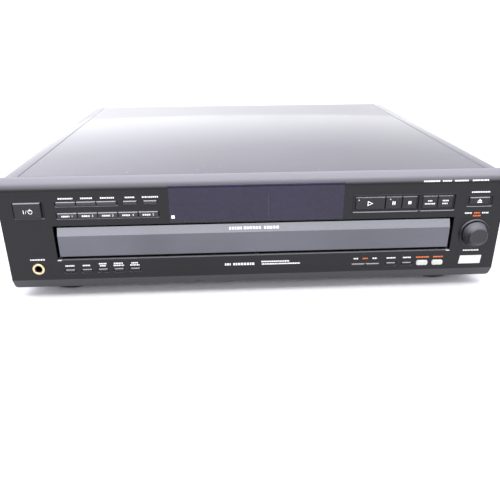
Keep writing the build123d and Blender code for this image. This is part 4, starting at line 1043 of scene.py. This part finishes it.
@dataclass
class RearFittings:
    """Coloured rings on the audio sockets, the rear panel's blank label and its screws."""

    shop: Workshop
    jack_x: float = -140.0
    jacks: tuple[tuple[float, Look], ...] = ((8.0, Look.RED_BUSH), (22.0, Look.WHITE_BUSH))
    bush_radius: float = 5.2
    bush_wire: float = 0.95
    screws: tuple[tuple[float, float], ...] = (
        (-200.0, 60.0), (-60.0, 79.0), (60.0, 79.0), (200.0, 60.0), (200.0, 5.0), (-200.0, 5.0), (-122.0, 22.0),
    )
    head_radius: float = 3.6
    head_height: float = 1.8
    label_at: tuple[float, float] = (-30.0, 12.0)  # its lower corner's x and z
    label_size: Point = (75.0, 0.4, 26.0)

    def build(self) -> None:
        """Fit the bushes, the label and the screws."""
        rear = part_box("rear_panel")[1].y
        for z, look in self.jacks:
            place = Vector((self.jack_x * MM, rear + 0.8 * MM, self.shop.face.base + z * MM))
            bush = torus(f"socket_bush_{look.name.lower()}", place, self.bush_radius, self.bush_wire, (48, 12))
            bpy.ops.object.shade_smooth()
            self.shop.finish_piece(bush, look, "case", "socket_plastic")
        x, z = self.label_at
        low = Vector((x * MM, rear - 0.1 * MM, self.shop.face.base + z * MM))
        label = soften(bar("rear_label", low, low + Vector(self.label_size) * MM), 0.1)
        self.shop.finish_piece(label, Look.WHITE_BUSH, "case", "key_pale")
        heads = [self._screw(x, z, rear) for x, z in self.screws]
        self.shop.finish_piece(join(heads, "rear_screws"), Look.SCREW, "case", "black_screw")

    def _screw(self, x: float, z: float, rear: float) -> bpy.types.Object:
        """Turn one pan head with a stepped round recess in its top.

        Args:
            x: Middle across the rear, in millimetres.
            z: Middle above the face's bottom edge.
            rear: The rear panel's outer face, in metres.

        Returns:
            The screw head.
        """
        place = Vector((x * MM, rear + self.head_height / 2 * MM, self.shop.face.base + z * MM))
        deselect()
        bpy.ops.mesh.primitive_cylinder_add(
            vertices=32, radius=self.head_radius * MM, depth=self.head_height * MM, location=place, rotation=UPRIGHT
        )
        head = settle(bpy.context.object)
        pick_faces(head, lambda spot, normal: normal.y > 0.9)
        bpy.ops.mesh.inset(thickness=0.8 * MM)
        bpy.ops.transform.translate(value=(0, 0.35 * MM, 0))
        bpy.ops.mesh.inset(thickness=1.4 * MM)
        bpy.ops.transform.translate(value=(0, -0.9 * MM, 0))
        bpy.ops.object.mode_set(mode="OBJECT")
        return soften(head, 0.12, 2)


class Carried:
    """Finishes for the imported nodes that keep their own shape."""

    LOOKS: dict[str, Look] = {
        "front_panel": Look.FACE_ABS,
        "display_window": Look.WINDOW_ACRYLIC,
        "bottom_chassis": Look.ZINC,
        "rear_panel": Look.SCREW,
        "cover_screws": Look.SCREW,
        "feet": Look.RUBBER,
        "main_board": Look.BOARD,
        "control_board": Look.PHENOLIC,
        "display_module": Look.TUBE,
        "headphone_socket": Look.GILT,
        "power_transformer": Look.CORE,
        "output_sockets": Look.ZINC,
        "cord_gland": Look.RUBBER,
        "drawer": Look.TRAY_PS,
        "drawer_front": Look.DRAWER_GLOSS,
        "carousel": Look.TRAY_PS,
        "carousel_motor": Look.CAN,
        "carousel_gear": Look.ACETAL,
        "mechanism_deck": Look.DECK,
        "clamp_bridge": Look.ZINC,
        "disc_clamp": Look.ACETAL,
        "loading_gear": Look.ACETAL,
        "loading_pulley": Look.ACETAL,
        "loading_motor": Look.CAN,
        "loading_belt": Look.RUBBER,
        "base_unit": Look.DECK,
        "disc_turntable": Look.ACETAL,
        "pickup": Look.DECK,
        "lift_cam": Look.ACETAL,
        "encoder_rotor": Look.CAN,
        "delay_key": Look.PALE_KEY,
        "crossfade_key": Look.PALE_KEY,
        **{f"{name}_key": Look.MODE_KEY_ABS for name in ("continue", "shuffle", "program", "repeat", "time")},
        **{f"disc_{number}_key": Look.MODE_KEY_ABS for number in range(1, 6)},
    }

    @classmethod
    def dress(cls, shop: Workshop) -> None:
        """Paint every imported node, keys included."""
        for name, node in shop.frame["nodes"].items():
            look = cls.LOOKS.get(name, Look.KEY_ABS)
            shop.palette.paint(node, look)
            LOG.info("%s wears %s", name, look.value.name)


# ---- studio -------------------------------------------------------------------------------------
@dataclass
class Studio:
    """Floor, light and camera, set up as the object was seen."""

    palette: Palette
    camera_at: Point = (-0.0283, -0.6139, 0.2308)
    yaw: float = 2.985  # degrees to the right of straight ahead
    pitch: float = 23.83  # degrees below the horizon
    roll: float = -0.307
    lens: float = 38.0  # mm
    sensor: float = 36.0  # mm wide
    floor_size: float = 60.0
    aim: Point = (0.0, 0.0, 0.05)
    # Soft boxes: name, place and size in metres, power in watts.
    lamps: tuple[tuple[str, Point, tuple[float, float], float], ...] = (
        ("behind_camera", (0.05, -1.9, 0.95), (2.6, 0.5), 14.0),
        ("overhead", (0.0, -0.75, 1.45), (2.6, 0.5), 20.0),
    )
    # The world's light along each axis: where it starts and stops changing, then its strength at both ends.
    along_x: Ramp = (-0.35, 0.25, 1.2, 0.85)
    along_y: Ramp = (-0.6, 0.7, 0.5, 1.35)
    along_z: Ramp = (0.35, 0.95, 0.0, 0.9)

    def build(self) -> None:
        """Set up the whole studio."""
        self._floor()
        self._world()
        for lamp in self.lamps:
            self._lamp(*lamp)
        self._camera()

    def _floor(self) -> None:
        """Lay the pale floor."""
        deselect()
        bpy.ops.mesh.primitive_plane_add(size=self.floor_size)
        floor = bpy.context.object
        floor.name = "floor"
        self.palette.paint(floor, Look.FLOOR)

    def _world(self) -> None:
        """Surround the object with soft light, brighter behind it than before it."""
        world = bpy.data.worlds.new("studio")
        bpy.context.scene.world = world
        world.use_nodes = True
        tree = world.node_tree
        tree.nodes.clear()
        place = add_node(tree, "ShaderNodeTexCoord")
        parts = add_node(tree, "ShaderNodeSeparateXYZ", {0: place.outputs["Generated"]})
        level = {}
        for axis, ramp in (("X", self.along_x), ("Y", self.along_y), ("Z", self.along_z)):
            ends = dict(zip(("From Min", "From Max", "To Min", "To Max"), ramp))
            level[axis] = add_node(tree, "ShaderNodeMapRange", {"Value": parts.outputs[axis], **ends}).outputs[0]
        turned = add_node(tree, "ShaderNodeMath", {0: level["Y"], 1: level["X"]}, operation="MULTIPLY")
        both = add_node(tree, "ShaderNodeMath", {0: turned.outputs[0], 1: level["Z"]}, operation="ADD")
        shade = add_node(tree, "ShaderNodeBackground", {"Color": linear("#f4f4fa"), "Strength": both.outputs[0]})
        add_node(tree, "ShaderNodeOutputWorld", {"Surface": shade.outputs[0]})

    def _lamp(self, name: str, place: Point, size: tuple[float, float], power: float) -> None:
        """Hang one soft box that faces the object.

        Args:
            name: The lamp's name.
            place: Where it hangs, in metres.
            size: Its width and height in metres.
            power: Its power in watts.
        """
        data = bpy.data.lights.new(name, "AREA")
        data.shape = "RECTANGLE"
        data.size, data.size_y = size
        data.energy = power
        lamp = bpy.data.objects.new(name, data)
        bpy.context.scene.collection.objects.link(lamp)
        lamp.location = place
        aim = Vector(self.aim) - Vector(place)
        lamp.rotation_euler = aim.to_track_quat("-Z", "Y").to_euler()

    def _camera(self) -> None:
        """Stand the camera where the object was photographed from."""
        data = bpy.data.cameras.new("camera")
        data.lens = self.lens
        data.sensor_width = self.sensor
        data.clip_start = 0.01
        camera = bpy.data.objects.new("camera", data)
        bpy.context.scene.collection.objects.link(camera)
        turn = Matrix.Rotation(math.radians(-self.yaw), 4, "Z")
        tip = Matrix.Rotation(math.radians(90 - self.pitch), 4, "X")
        lean = Matrix.Rotation(math.radians(self.roll), 4, "Z")
        camera.matrix_world = Matrix.Translation(self.camera_at) @ turn @ tip @ lean
        bpy.context.scene.camera = camera


def main() -> None:
    """Load the frame and build each sub-assembly in order."""
    logging.basicConfig(level=logging.INFO)
    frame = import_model()
    shop = Workshop(Face(), Palette(), frame)
    bpy.context.scene.view_settings.view_transform = "Standard"
    Studio(shop.palette).build()
    Carried.dress(shop)
    CoverShell(shop).build()
    FaceTrim(shop).build()
    Dial(shop).build()
    Socket(shop).build()
    CarouselDressing(shop).build()
    RearFittings(shop).build()
    Legends(shop).build()


if __name__ == "__main__":
    main()
